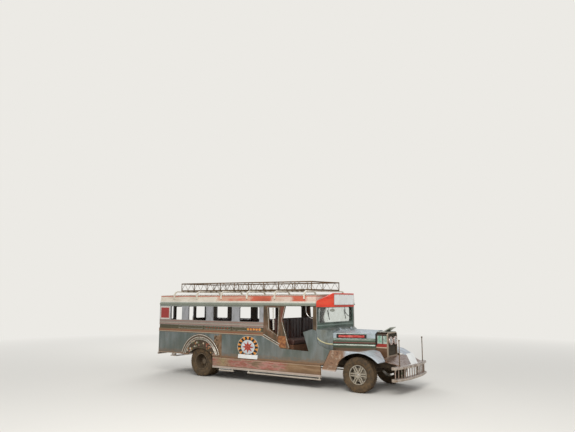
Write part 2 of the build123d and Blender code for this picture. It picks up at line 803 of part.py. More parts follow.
with BuildPart() as cowl:
    # distance behind the front axle, half width, height of the shoulders
    for station, half, top_z in ((cowl_crest[0], cowl_rear_half, cowl_rear_z), (hood_rear, hood_rear_half, cowl_front_z)):
        with BuildSketch(cross_plane(behind(station))):
            with BuildLine():
                Polyline((-half, top_z), (-half, cowl_bottom_z), (half, cowl_bottom_z), (half, top_z))
                ThreePointArc((half, top_z), (0, top_z + crown), (-half, top_z))
            make_face()
    loft(ruled=True)
    for station, half, top_z in (
        (cowl_crest[0], cowl_rear_half - sheet, cowl_rear_z - sheet),
        (hood_rear + cowl_nose, hood_rear_half + sheet, cowl_front_z - sheet),
    ):
        with BuildSketch(cross_plane(behind(station))):
            with BuildLine():
                Polyline(
                    (-half, top_z),
                    (-half, cowl_bottom_z + sheet),
                    (half, cowl_bottom_z + sheet),
                    (half, top_z),
                )
                ThreePointArc((half, top_z), (0, top_z + crown), (-half, top_z))
            make_face()
    loft(ruled=True, mode=Mode.SUBTRACT)
    with BuildSketch(cross_plane(behind(firewall))):
        with Locations((0, rail_top_z)):
            Rectangle(2 * inner_half, cowl_bottom_z - rail_top_z, align=(Align.CENTER, Align.MIN))
    extrude(amount=sheet)
    for barrel_y in (hinge_y, -hinge_y):
        for lug_y in (barrel_y - hinge_barrel / 2 - hinge_lug - weld, barrel_y + hinge_barrel / 2 + weld):
            with BuildSketch(side_plane(lug_y + hinge_lug)):
                with Locations((hinge_x, hinge_z)):
                    Circle(hinge_radius)
                    Rectangle(hinge_leaf, 2 * hinge_radius, align=(Align.MAX, Align.CENTER))
                with Locations((behind(hood_rear), hinge_z)):
                    Rectangle(
                        hinge_leaf - hood_gap / 2,
                        hinge_rise + sheet,
                        align=(Align.MAX, Align.MAX),
                    )
            extrude(amount=hinge_lug)
        with BuildSketch(side_plane(barrel_y + hinge_barrel / 2 + hinge_lug)):
            with Locations((hinge_x, hinge_z)):
                Circle(hinge_pin_radius)
        extrude(amount=hinge_barrel + 2 * hinge_lug)
save(cowl.part, "cowl")

# Hood: one crowned shell with turned-down sides, hinged along its rear edge
hood_front_z = 1172.0
hood_rear_z = 1180.0
hood_side_z = 925.0
hood_corner = 45.0

with BuildPart() as hood:
    for inset in (0.0, sheet):
        for x, half, top_z in (
            (behind(hood_rear) + hood_gap, hood_rear_half, hood_rear_z),
            (front_axle_x + shell_rear - hood_gap, hood_front_half, hood_front_z),
        ):
            low_z = hood_side_z - inset
            with BuildSketch(cross_plane(x)):
                with BuildLine():
                    Polyline(
                        (half - inset, top_z - hood_corner),
                        (half - inset, low_z),
                        (inset - half, low_z),
                        (inset - half, top_z - hood_corner),
                    )
                    ThreePointArc(
                        (inset - half, top_z - hood_corner),
                        (0, top_z + crown - inset),
                        (half - inset, top_z - hood_corner),
                    )
                make_face()
        loft(ruled=True, mode=Mode.SUBTRACT if inset else Mode.ADD)
    for barrel_y in (hinge_y, -hinge_y):
        with BuildSketch(side_plane(barrel_y + hinge_barrel / 2)):
            with Locations((hinge_x, hinge_z)):
                Circle(hinge_radius)
            with BuildLine():
                Polyline(
                    (hinge_x + hinge_radius / 2, hinge_z),
                    (hinge_x + hinge_radius / 2, hood_rear_z + sheet / 2),
                    (hinge_x + hinge_radius / 2 + hinge_leaf, hood_rear_z + sheet / 2),
                    (hinge_x + hinge_radius, hinge_z),
                    close=True,
                )
            make_face()
            with Locations((hinge_x, hinge_z)):
                Circle(hinge_pin_radius + pin_gap, mode=Mode.SUBTRACT)
        extrude(amount=hinge_barrel)
save(hood.part, "hood")

# Front fenders: flat top, turned-down skirt with the wheel arch, splash plates behind
# sketch points as distances behind the front axle and heights
fender_top = (
    fender_foot,
    fender_shoulder,
    (-90.0, 803.0),
    (-250.0, 770.0),
    (-380.0, 707.0),
    (-500.0, 630.0),
)
fender_lip = (-488.0, 612.0)
fender_arch = ((-460.0, 610.0), (50.0, 772.0), (410.0, 580.0))
fender_heel = (490.0, 385.0)
shell_half = 250.0
fender_inner = shell_half + seat_gap
fender_taper = ((-200.0, fender_inner), (-520.0, 660.0))
fender_sheet = 16.0
bead_width = 18.0
bead_proud = 6.0
rail_gap = 10.0

with BuildPart() as front_fenders:
    with BuildSketch(side_plane(-body_half + wall)):
        with BuildLine():
            Polyline(
                at(fender_arch[2]),
                at(fender_heel),
                *[at(point) for point in fender_top],
                at(fender_lip),
                at(fender_arch[0]),
            )
            ThreePointArc(at(fender_arch[0]), at(fender_arch[1]), at(fender_arch[2]))
        make_face()
    extrude(amount=wall)
    with BuildSketch(side_plane(-body_half)):
        with BuildLine():
            ThreePointArc(at(fender_arch[0]), at(fender_arch[1]), at(fender_arch[2]))
            Line(at(fender_arch[2]), (behind(fender_arch[2][0] + bead_width), fender_arch[2][1]))
            ThreePointArc(
                (behind(fender_arch[2][0] + bead_width), fender_arch[2][1]),
                (behind(fender_arch[1][0]), fender_arch[1][1] + bead_width),
                (behind(fender_arch[0][0] - bead_width), fender_arch[0][1]),
            )
            Line((behind(fender_arch[0][0] - bead_width), fender_arch[0][1]), at(fender_arch[0]))
        make_face()
    extrude(amount=bead_proud)
    with BuildSketch(side_plane(-fender_inner)):
        with BuildLine():
            Polyline(
                *[at(point) for point in fender_top],
                *[(behind(distance), z - fender_sheet) for distance, z in reversed(fender_top[2:])],
                (behind(fender_top[1][0]) + fender_sheet / 2, fender_z - fender_sheet),
                (behind(fender_top[0][0]) + fender_sheet, fender_top[0][1]),
                close=True,
            )
        make_face()
    extrude(amount=body_half - wall - fender_inner)
    with BuildSketch(side_plane(-fender_inner)):
        with Locations((behind(fender_heel[0]), rail_top_z + rail_gap)):
            Rectangle(fender_top[0][0], rail_top_z, align=(Align.MAX, Align.MAX))
    extrude(amount=frame_half + rail_width / 2 + rail_gap - fender_inner, mode=Mode.SUBTRACT)
    with BuildSketch(Plane.XY.offset(fender_heel[1])):
        with BuildLine():
            Polyline(
                (behind(fender_taper[0][0]), -fender_taper[0][1]),
                (behind(fender_taper[1][0]), -fender_taper[1][1]),
                (behind(fender_taper[1][0]), -fender_taper[0][1]),
                close=True,
            )
        make_face()
    extrude(amount=fender_z - fender_heel[1], mode=Mode.SUBTRACT)
    mirror(about=Plane.XZ)
save(front_fenders.part, "front_fenders")

# Fixed hood sides: they stand on the fenders and follow the hood's taper

with BuildPart() as hood_sides:
    with BuildSketch(Plane.XY.offset(fender_z)):
        with BuildLine():
            Polyline(
                (behind(hood_rear), -hood_rear_half),
                (front_axle_x + shell_rear - seat_gap, -hood_front_half),
                (front_axle_x + shell_rear - seat_gap, sheet - hood_front_half),
                (behind(hood_rear), sheet - hood_rear_half),
                close=True,
            )
        make_face()
    extrude(amount=hood_side_z - seat_gap - fender_z)
    mirror(about=Plane.XZ)
save(hood_sides.part, "hood_sides")

# Grille shell: a deep surround with upright bars
shell_bottom_z = 660.0
shell_top_z = 1178.0
shell_corner = 90.0
shell_wall = 15.0
grille_border = 38.0
bar_count = 7
bar_width = 14.0
bar_depth = 22.0
visor_half = 150.0
visor_rear = 240.0
visor_front = 410.0
visor_rise = 92.0
visor_sheet = 12.0

with BuildPart() as grille_shell:
    with BuildSketch(cross_plane(front_axle_x + shell_rear)):
        with Locations((0, shell_bottom_z)):
            Rectangle(
                2 * shell_half,
                shell_top_z - shell_bottom_z,
                align=(Align.CENTER, Align.MIN),
            )
    extrude(amount=shell_front - shell_rear)
    fillet(grille_shell.edges().filter_by(Axis.X).group_by(Axis.Z)[-1], shell_corner)
    fillet(grille_shell.faces().sort_by(Axis.X)[-1].edges(), shell_wall)
    with BuildSketch(cross_plane(front_axle_x + shell_rear)):
        with Locations((0, shell_bottom_z)):
            Rectangle(
                2 * (shell_half - shell_wall),
                shell_top_z - shell_bottom_z - shell_wall,
                align=(Align.CENTER, Align.MIN),
            )
    extrude(amount=shell_front - shell_rear - shell_wall, mode=Mode.SUBTRACT)
    with BuildSketch(cross_plane(front_axle_x + shell_rear)):
        with Locations((0, shell_bottom_z + grille_border)):
            Rectangle(
                2 * (shell_half - grille_border),
                shell_top_z - shell_bottom_z - 2 * grille_border,
                align=(Align.CENTER, Align.MIN),
            )
    extrude(amount=shell_front - shell_rear, mode=Mode.SUBTRACT)
    with BuildSketch(cross_plane(front_axle_x + shell_front - shell_wall)):
        with Locations((0, (shell_bottom_z + shell_top_z) / 2)):
            with GridLocations(2 * (shell_half - grille_border) / (bar_count + 1), 0, bar_count, 1):
                Rectangle(bar_width, shell_top_z - shell_bottom_z - 2 * shell_wall)
    extrude(amount=-bar_depth)
    with BuildSketch(side_plane(visor_half)):
        with BuildLine():
            Polyline(
                (front_axle_x + visor_rear, shell_top_z - visor_sheet),
                (front_axle_x + visor_rear, shell_top_z),
                (front_axle_x + visor_front, shell_top_z + visor_rise),
                (front_axle_x + visor_front, shell_top_z + visor_rise - visor_sheet),
                (front_axle_x + visor_rear + 2 * visor_sheet, shell_top_z - visor_sheet),
                close=True,
            )
        make_face()
    extrude(amount=2 * visor_half)
save(grille_shell.part, "grille_shell")

# Radiator behind the grille, standing on the cross member: a core between two tanks, and a filler neck
radiator_half = 200.0
radiator_top_z = 1100.0
core_depth = 40.0
tank_depth = 56.0
tank_rise = 70.0
filler_radius = 24.0
filler_height = 30.0

with BuildPart() as radiator:
    with Locations((behind(radiator_station), 0, rail_top_z)):
        Box(
            core_depth,
            2 * (radiator_half - wall),
            radiator_top_z - rail_top_z,
            align=(Align.CENTER, Align.CENTER, Align.MIN),
        )
        Box(tank_depth, 2 * radiator_half, tank_rise, align=(Align.CENTER, Align.CENTER, Align.MIN))
    with Locations((behind(radiator_station), 0, radiator_top_z)):
        Box(tank_depth, 2 * radiator_half, tank_rise, align=(Align.CENTER, Align.CENTER, Align.MAX))
        Cylinder(filler_radius, filler_height, align=(Align.CENTER, Align.CENTER, Align.MIN))
save(radiator.part, "radiator")

# Headlamps: a bowl with a rolled ring, and a domed lens in front
lamp_y = 115.0
lamp_z = 992.0
lamp_radius = 85.0
lamp_ring = 16.0
lamp_ring_rise = 10.0
lamp_depth = 28.0
lens_rise = 18.0
lamp_x = front_axle_x + shell_front - shell_wall + seat_gap


def lamp_section(x, y, z):
    """Plane through a lamp's axis: its sketch runs forward and out from the axis."""
    return Plane(origin=(x, y, z), x_dir=(1, 0, 0), z_dir=(0, -1, 0))


with BuildPart() as headlamps:
    for y in (lamp_y, -lamp_y):
        with BuildSketch(lamp_section(lamp_x, y, lamp_z)):
            with BuildLine():
                Polyline(
                    (lamp_depth, lamp_radius - lamp_ring),
                    (lamp_depth, 0),
                    (0, 0),
                    (0, lamp_radius - lamp_ring),
                    (lamp_depth / 2, lamp_radius),
                    (lamp_depth, lamp_radius),
                )
                ThreePointArc(
                    (lamp_depth, lamp_radius),
                    (lamp_depth + lamp_ring_rise, lamp_radius - lamp_ring / 2),
                    (lamp_depth, lamp_radius - lamp_ring),
                )
            make_face()
        revolve(axis=Axis((0, y, lamp_z), (1, 0, 0)))
save(headlamps.part, "headlamps")

with BuildPart() as headlamp_lenses:
    for y in (lamp_y, -lamp_y):
        lens_radius = lamp_radius - lamp_ring - seat_gap
        bulge = (lens_radius**2 + lens_rise**2) / (2 * lens_rise)
        with BuildSketch(lamp_section(lamp_x + lamp_depth, y, lamp_z)):
            with BuildLine():
                Line((0, 0), (0, lens_radius))
                RadiusArc((0, lens_radius), (lens_rise, 0), bulge)
                Line((lens_rise, 0), (0, 0))
            make_face()
        revolve(axis=Axis((0, y, lamp_z), (1, 0, 0)))
save(headlamp_lenses.part, "headlamp_lenses")

# Windshield frame and its glass
screen_half = inner_half - 110.0
screen_bottom_z = 1345.0
screen_top_z = 1665.0
screen_corner = 50.0
glass_thickness = 6.0
frame_foot_z = 1150.0

with BuildPart() as windshield_frame:
    with BuildSketch(cross_plane(behind(screen_rear))):
        with Locations((0, frame_foot_z)):
            Rectangle(
                2 * inner_half,
                gutter_z - frame_foot_z,
                align=(Align.CENTER, Align.MIN),
            )
        with Locations((0, (screen_bottom_z + screen_top_z) / 2)):
            RectangleRounded(
                2 * screen_half,
                screen_top_z - screen_bottom_z,
                screen_corner,
                mode=Mode.SUBTRACT,
            )
    extrude(amount=screen_rear - screen_front)
save(windshield_frame.part, "windshield_frame")

with BuildPart() as windshield_glass:
    with BuildSketch(cross_plane(behind((screen_rear + screen_front) / 2))):
        with Locations((0, (screen_bottom_z + screen_top_z) / 2)):
            RectangleRounded(
                2 * (screen_half - seat_gap),
                screen_top_z - screen_bottom_z - 2 * seat_gap,
                screen_corner - seat_gap,
            )
    extrude(amount=glass_thickness / 2, both=True)
save(windshield_glass.part, "windshield_glass")

# Roof: gutter, side bands and a low crown over the cabin, closed at both ends
roof_front = screen_front
gutter_height = 32.0
band_foot_half = gutter_half - 19.0
band_top_half = band_foot_half - 28.0
roof_sheet = 25.0
shoulder_radius = 40.0

with BuildPart() as roof:
    with BuildSketch(cross_plane(behind(body_rear))):
        with BuildLine():
            Polyline(
                (gutter_half, gutter_z + gutter_height),
                (gutter_half, gutter_z),
                (-gutter_half, gutter_z),
                (-gutter_half, gutter_z + gutter_height),
                (-band_foot_half, gutter_z + gutter_height),
                (-band_top_half, band_top_z),
            )
            ThreePointArc((-band_top_half, band_top_z), (0, roof_top_z), (band_top_half, band_top_z))
            Polyline(
                (band_top_half, band_top_z),
                (band_foot_half, gutter_z + gutter_height),
                (gutter_half, gutter_z + gutter_height),
            )
        make_face()
    extrude(amount=body_rear - roof_front)
    with BuildSketch(cross_plane(behind(body_rear - roof_sheet))):
        with BuildLine():
            Polyline(
                (-band_top_half + roof_sheet, band_top_z - roof_sheet),
                (-body_half + frame_wall, gutter_z),
                (body_half - frame_wall, gutter_z),
                (band_top_half - roof_sheet, band_top_z - roof_sheet),
            )
            ThreePointArc(
                (band_top_half - roof_sheet, band_top_z - roof_sheet),
                (0, roof_top_z - roof_sheet),
                (-band_top_half + roof_sheet, band_top_z - roof_sheet),
            )
        make_face()
    extrude(amount=body_rear - roof_front - 2 * roof_sheet, mode=Mode.SUBTRACT)
save(roof.part, "roof")

# Rear wall with the open doorway and a window on each side of it
rear_door_half = 330.0
rear_door_top_z = 1640.0
rear_window_inner = rear_door_half + 100.0
rear_window_outer = body_half - 110.0

with BuildPart() as rear_wall:
    with BuildSketch(cross_plane(behind(body_rear))):
        with Locations((0, skirt_top_z)):
            Rectangle(
                2 * (body_half - frame_wall),
                gutter_z - skirt_top_z,
                align=(Align.CENTER, Align.MIN),
            )
        with Locations((0, floor_z)):
            Rectangle(
                2 * rear_door_half,
                rear_door_top_z - floor_z,
                align=(Align.CENTER, Align.MIN),
                mode=Mode.SUBTRACT,
            )
        with Locations(
            ((rear_window_inner + rear_window_outer) / 2, (window_bottom_z + window_top_z) / 2),
            (-(rear_window_inner + rear_window_outer) / 2, (window_bottom_z + window_top_z) / 2),
        ):
            RectangleRounded(
                rear_window_outer - rear_window_inner,
                window_top_z - window_bottom_z,
                window_corner,
                mode=Mode.SUBTRACT,
            )
    extrude(amount=wall)
save(rear_wall.part, "rear_wall")

# Rear step below the doorway, carried by the frame, with a bumper bar across
step_half = rear_door_half + 50.0
step_depth = 210.0
step_z = 380.0
step_thickness = 24.0
bar_half = body_half - 60.0
bar_radius = 28.0
step_arm_width = 40.0

with BuildPart() as rear_step:
    with Locations((behind(rear_end), 0, step_z)):
        Box(step_depth, 2 * step_half, step_thickness, align=(Align.MIN, Align.CENTER, Align.MAX))
    with BuildSketch(side_plane(-bar_half)):
        with Locations((behind(rear_end) + bar_radius, rail_bottom_z)):
            Circle(bar_radius)
    extrude(amount=-2 * bar_half)
    for y in (-frame_half, frame_half):
        with Locations((behind(rear_end) + bar_radius, y, step_z - step_thickness)):
            Box(
                rear_end - frame_rear - bar_radius,
                step_arm_width,
                rail_bottom_z + bar_radius - step_z + step_thickness,
                align=(Align.MIN, Align.CENTER, Align.MIN),
            )
save(rear_step.part, "rear_step")

# Tail lamps on the rear wall
tail_lamp_y = body_half - 200.0
tail_lamp_z = 850.0
tail_lamp_radius = 55.0
tail_lamp_depth = 45.0

with BuildPart() as tail_lamps:
    for y in (tail_lamp_y, -tail_lamp_y):
        with BuildSketch(cross_plane(behind(body_rear))):
            with Locations((y, tail_lamp_z)):
                Circle(tail_lamp_radius)
        extrude(amount=-tail_lamp_depth)
save(tail_lamps.part, "tail_lamps")

# Passenger benches along both sides, over the wheel tubs
bench_inner = 385.0
bench_z = 930.0
bench_board = 15.0
bench_front = pillar_rear
bench_cushion = 90.0
bench_back_depth = 70.0
bench_back_bottom = 1050.0
bench_back_top = 1320.0
bench_end_gap = 10.0
bench_rear = body_rear - wall

with BuildPart() as bench_boxes:
    with Locations((behind(bench_rear), -bench_inner, floor_z)):
        Box(
            bench_rear - bench_front,
            bench_board,
            bench_z - floor_z,
            align=(Align.MIN, Align.MAX, Align.MIN),
        )
    with Locations((behind(bench_rear), -bench_inner, bench_z)):
        Box(
            bench_rear - bench_front,
            inner_half - bench_inner,
            bench_board,
            align=(Align.MIN, Align.MAX, Align.MAX),
        )
    mirror(about=Plane.XZ)
save(bench_boxes.part, "bench_boxes")

with BuildPart() as bench_cushions:
    with Locations((behind(bench_rear - bench_end_gap), -bench_inner, bench_z + seat_gap)):
        Box(
            bench_rear - bench_front - 2 * bench_end_gap,
            inner_half - bench_inner - frame_wall,
            bench_cushion,
            align=(Align.MIN, Align.MAX, Align.MIN),
        )
    mirror(about=Plane.XZ)
save(bench_cushions.part, "bench_cushions")

with BuildPart() as bench_backs:
    with Locations((behind(bench_rear - bench_end_gap), -body_half + frame_wall + seat_gap, bench_back_bottom)):
        Box(
            bench_rear - bench_front - 2 * bench_end_gap,
            bench_back_depth,
            bench_back_top - bench_back_bottom,
            align=(Align.MIN, Align.MIN, Align.MIN),
        )
    mirror(about=Plane.XZ)
save(bench_backs.part, "bench_backs")

# Front seat: a box, a full-width cushion and a backrest
front_seat_front = door_front + 430.0
front_seat_depth = 480.0
front_seat_z = 860.0
front_cushion = 110.0
front_back_height = 460.0
front_back_depth = 110.0
front_seat_half = body_half - 80.0
seat_box_inset = 30.0

with BuildPart() as front_seat_box:
    with Locations((behind(front_seat_front + seat_box_inset), 0, floor_z)):
        Box(
            front_seat_depth,
            2 * (front_seat_half - seat_box_inset),
            front_seat_z - floor_z,
            align=(Align.MAX, Align.CENTER, Align.MIN),
        )
save(front_seat_box.part, "front_seat_box")

with BuildPart() as front_seat:
    with Locations((behind(front_seat_front), 0, front_seat_z + seat_gap)):
        Box(
            front_seat_depth,
            2 * front_seat_half,
            front_cushion,
            align=(Align.MAX, Align.CENTER, Align.MIN),
        )
save(front_seat.part, "front_seat")

with BuildPart() as front_backrest:
    with Locations((behind(front_seat_front + front_seat_depth), 0, front_seat_z + seat_gap)):
        Box(
            front_back_depth,
            2 * front_seat_half,
            front_cushion + front_back_height,
            align=(Align.MAX, Align.CENTER, Align.MIN),
        )
save(front_backrest.part, "front_backrest")

# Dashboard, steering column and steering wheel for the left-hand driver
dash_depth = 140.0
dash_height = 160.0
driver_y = body_half - 480.0
column_radius = 22.0
column_flange = 120.0
column_flange_depth = 14.0
column_foot_z = 760.0
steering_station = door_front + 270.0
steering_wheel_z = 1110.0
steering_wheel_radius = 200.0
steering_rim_radius = 13.0
column_foot = Vector(behind(firewall), driver_y, column_foot_z)
wheel_centre = Vector(behind(steering_station), driver_y, steering_wheel_z)
column_run = column_foot - wheel_centre
column_plane = Plane(origin=wheel_centre, x_dir=(0, 1, 0), z_dir=column_run)
steering_hub_radius = 38.0
steering_hub_depth = 40.0
wheel_boss = steering_hub_depth + seat_gap
steering_spokes = 3
steering_spoke_width = 26.0
steering_spoke_depth = 8.0

with BuildPart() as dashboard:
    with Locations((behind(screen_rear), 0, cowl_z - sheet)):
        Box(dash_depth, 2 * (inner_half - frame_wall), dash_height, align=(Align.MAX, Align.CENTER, Align.MAX))
    with BuildSketch(column_plane.offset(wheel_boss)):
        Circle(column_radius + seat_gap)
    extrude(amount=column_run.length, mode=Mode.SUBTRACT)
save(dashboard.part, "dashboard")

with BuildPart() as steering_column:
    with BuildSketch(column_plane.offset(wheel_boss)):
        Circle(column_radius)
    extrude(amount=column_run.length)
    split(bisect_by=Plane.YZ.offset(behind(firewall)), keep=Keep.BOTTOM)
    with Locations((behind(firewall), driver_y, column_foot.Z)):
        Box(column_flange_depth, column_flange, column_flange, align=(Align.MAX, Align.CENTER, Align.CENTER))
save(steering_column.part, "steering_column")

with BuildPart() as steering_wheel:
    with BuildSketch(Plane(origin=wheel_centre, x_dir=column_run, z_dir=(0, 1, 0))):
        with Locations((0, steering_wheel_radius)):
            Circle(steering_rim_radius)
    revolve(axis=Axis(wheel_centre, column_run))
    with BuildSketch(column_plane):
        Circle(steering_hub_radius)
    extrude(amount=steering_hub_depth)
    with BuildSketch(column_plane):
        with PolarLocations(steering_wheel_radius / 2, steering_spokes, start_angle=90):
            Rectangle(steering_wheel_radius - steering_rim_radius, steering_spoke_width)
    extrude(amount=steering_spoke_depth / 2, both=True)
save(steering_wheel.part, "steering_wheel")

# Roof rack carried on hoops that arch over the roof
hoop_radius = 16.0
hoop_z = 2028.0
hoop_bend = 110.0
hoop_foot_z = 1866.0
hoop_count = 6
hoop_inset = 20.0
rack_half = body_half - 280.0
rack_tube_radius = 14.0
rack_rear = body_rear - 490.0
rack_front = 1220.0
hoop_first = rack_front + hoop_inset
hoop_pitch = (rack_rear - hoop_inset - hoop_first) / (hoop_count - 1)
slat_width = 60.0
slat_height = 18.0
slat_rows = 5
post_pitch = 400.0
post_radius = 10.0
lattice_width = 10.0
lattice_depth = 8.0
band_lean = (band_foot_half - band_top_half) / (band_top_z - gutter_z - gutter_height)
hoop_foot_y = band_foot_half - band_lean * (hoop_foot_z - gutter_z - gutter_height) + hoop_radius + seat_gap
hoop_turn_y = hoop_foot_y - hoop_bend
rack_low_z = hoop_z + hoop_radius + seat_gap + rack_tube_radius
rack_high_z = rack_top_z - rack_tube_radius

with BuildPart() as roof_hoops:
    for number in range(hoop_count):
        with BuildSketch(cross_plane(behind(hoop_first + number * hoop_pitch) - hoop_radius)):
            with BuildLine():
                Polyline((hoop_foot_y, hoop_foot_z), (hoop_foot_y, hoop_z - hoop_bend))
                RadiusArc((hoop_foot_y, hoop_z - hoop_bend), (hoop_turn_y, hoop_z), -hoop_bend)
                Line((hoop_turn_y, hoop_z), (-hoop_turn_y, hoop_z))
                RadiusArc((-hoop_turn_y, hoop_z), (-hoop_foot_y, hoop_z - hoop_bend), -hoop_bend)
                Line((-hoop_foot_y, hoop_z - hoop_bend), (-hoop_foot_y, hoop_foot_z))
                offset(amount=hoop_radius, side=Side.BOTH)
            make_face()
        extrude(amount=2 * hoop_radius)
save(roof_hoops.part, "roof_hoops")

with BuildPart() as roof_rack:
    rack_length = rack_rear - rack_front
    for z in (rack_low_z, rack_high_z):
        for y in (-rack_half, rack_half):
            with BuildSketch(cross_plane(behind(rack_rear))):
                with Locations((y, z)):
                    Circle(rack_tube_radius)
            extrude(amount=rack_length)
        for x in (behind(rack_rear), behind(rack_front)):
            with BuildSketch(side_plane(rack_half)):
                with Locations((x, z)):
                    Circle(rack_tube_radius)
            extrude(amount=2 * rack_half)
    post_count = int(rack_length // post_pitch) + 1
    post_step = rack_length / (post_count - 1)
    for number in range(post_count):
        for y in (-rack_half, rack_half):
            with BuildSketch(Plane.XY.offset(rack_low_z)):
                with Locations((behind(rack_rear) + number * post_step, y)):
                    Circle(post_radius)
            extrude(amount=rack_high_z - rack_low_z)
    lattice = [
        (behind(rack_rear) + corner * post_step / 4, rack_high_z if corner % 2 else rack_low_z)
        for corner in range(4 * (post_count - 1) + 1)
    ]
    for y in (-rack_half, rack_half):
        with BuildSketch(side_plane(y + lattice_depth / 2)):
            with BuildLine():
                Polyline(
                    *[(x, z + lattice_width / 2) for x, z in lattice],
                    *[(x, z - lattice_width / 2) for x, z in reversed(lattice)],
                    close=True,
                )
            make_face()
        extrude(amount=lattice_depth)
save(roof_rack.part, "roof_rack")

# Slats of the rack's floor, lying on the hoops between the end tubes
with BuildPart() as rack_slats:
    with Locations((behind((rack_rear + rack_front) / 2), 0, rack_low_z - rack_tube_radius)):
        with GridLocations(0, 2 * rack_half / (slat_rows + 1), 1, slat_rows):
            Box(
                rack_length - 2 * (rack_tube_radius + seat_gap),
                slat_width,
                slat_height,
                align=(Align.CENTER, Align.CENTER, Align.MIN),
            )
save(rack_slats.part, "rack_slats")

# Grab rails: a tube on hangers under each side of the ceiling, and a bent rod at each door's front corner
grab_y = 400.0
grab_radius = 13.0
grab_drop = 75.0
grab_inset = 150.0
grab_hangers = 4
rod_radius = 9.0
rod_bend = 176.0
rod_y = inner_half - 4.0
ceiling_half = band_top_half - roof_sheet
ceiling_rise = roof_top_z - band_top_z
ceiling_radius = (ceiling_half**2 + ceiling_rise**2) / (2 * ceiling_rise)
ceiling_fall = ceiling_radius - (ceiling_radius**2 - (grab_y + grab_radius) ** 2) ** 0.5
hanger_top_z = roof_top_z - roof_sheet - ceiling_fall - seat_gap
grab_rear = body_rear - grab_inset
grab_front = pillar_rear + grab_inset
grab_pitch = (grab_rear - grab_front) / grab_hangers

with BuildPart() as grab_rails:
    with BuildSketch(cross_plane(behind(grab_rear))):
        with Locations((-grab_y, hanger_top_z - grab_drop)):
            Circle(grab_radius)
    extrude(amount=grab_rear - grab_front)
    for number in range(grab_hangers):
        with Locations((behind(grab_front + (number + 0.5) * grab_pitch), -grab_y, hanger_top_z)):
            Box(2 * grab_radius, grab_radius, grab_drop, align=(Align.CENTER, Align.CENTER, Align.MAX))
            Box(4 * grab_radius, 2 * grab_radius, grab_radius / 2, align=(Align.CENTER, Align.CENTER, Align.MAX))
    with BuildLine(side_plane(-rod_y)):
        Line((behind(screen_rear + rod_bend), gutter_z), (behind(screen_rear + rod_bend), gutter_z - rod_bend / 2))
        RadiusArc(
            (behind(screen_rear + rod_bend), gutter_z - rod_bend / 2),
            (behind(screen_rear), gutter_z - 1.5 * rod_bend),
            -rod_bend,
        )
    with BuildSketch(Plane(origin=(behind(screen_rear + rod_bend), -rod_y, gutter_z), z_dir=(0, 0, -1))):
        Circle(rod_radius)
    sweep()
    mirror(about=Plane.XZ)
save(grab_rails.part, "grab_rails")

# Destination board over the windshield: a blank prow with swept sides
board_front = 750.0
board_side_half = inner_half - 8.0
board_front_half = board_side_half - 392.0
board_bottom_z = 1682.0
board_top_z = 1982.0
board_side_top_z = 1800.0
board_sheet = 25.0
board_side_inset = 47.0
board_corner_inset = 12.0

with BuildPart() as destination_board:
    with BuildSketch(Plane.XY.offset(board_bottom_z)):
        with BuildLine():
            Polyline(
                (behind(roof_front - seat_gap), -board_side_half),
                (behind(board_front), -board_front_half),
                (behind(board_front), board_front_half),
                (behind(roof_front - seat_gap), board_side_half),
                close=True,
            )
        make_face()
    extrude(amount=board_top_z - board_bottom_z)
    with BuildSketch(Plane.XY.offset(board_bottom_z + board_sheet)):
        with BuildLine():
            Polyline(
                (behind(roof_front) - weld, board_side_inset - board_side_half),
                (behind(board_front) - board_sheet, board_corner_inset - board_front_half),
                (behind(board_front) - board_sheet, board_front_half - board_corner_inset),
                (behind(roof_front) - weld, board_side_half - board_side_inset),
                close=True,
            )
        make_face()
    extrude(amount=board_top_z - board_bottom_z, mode=Mode.SUBTRACT)
    with BuildSketch(cross_plane(behind(roof_front) - weld)):
        for side in (-1, 1):
            with BuildLine():
                Polyline(
                    (side * board_front_half, board_top_z),
                    (side * board_side_half, board_side_top_z),
                    (side * (board_side_half + weld), board_side_top_z),
                    (side * (board_side_half + weld), board_top_z + weld),
                    (side * board_front_half, board_top_z + weld),
                    close=True,
                )
            make_face()
    extrude(amount=roof_front - board_front + 2 * weld, mode=Mode.SUBTRACT)
save(destination_board.part, "destination_board")

# Front bumper: an apron, two rails with upright bars between them, and a blank plate
bumper_half = body_half - 90.0
bumper_bow = 90.0
bumper_bottom_z = 264.0
bumper_top_z = 545.0
bumper_rail_height = 55.0
bumper_depth = 100.0
bumper_corner = 18.0
bumper_iron = 16.0
upright_inset = 40.0
upright_count = 15
upright_radius = 10.0
apron_rear = shell_front + seat_gap
apron_rear_z = 672.0
apron_sheet = 10.0
apron_front = front_overhang - bumper_depth + apron_sheet
# distances in front of the axle and half widths of the apron
apron_plan = ((apron_rear, 490.0), (515.0, 622.0), (525.0, 700.0), (apron_front, 560.0))
pole_y = bumper_half - 190.0
pole_radius = 9.0
pole_top_z = 1060.0
knob_radius = 17.0
plate_width = 330.0
plate_height = 230.0
plate_lean = 28.0
plate_sheet = 6.0
plate_foot = 45.0


def bumper_x(y, depth):
    """X of the bowed bumper at a distance y from the middle, and a depth behind its front face."""
    return front_axle_x + front_overhang - bumper_bow * (y / bumper_half) ** 2 - depth


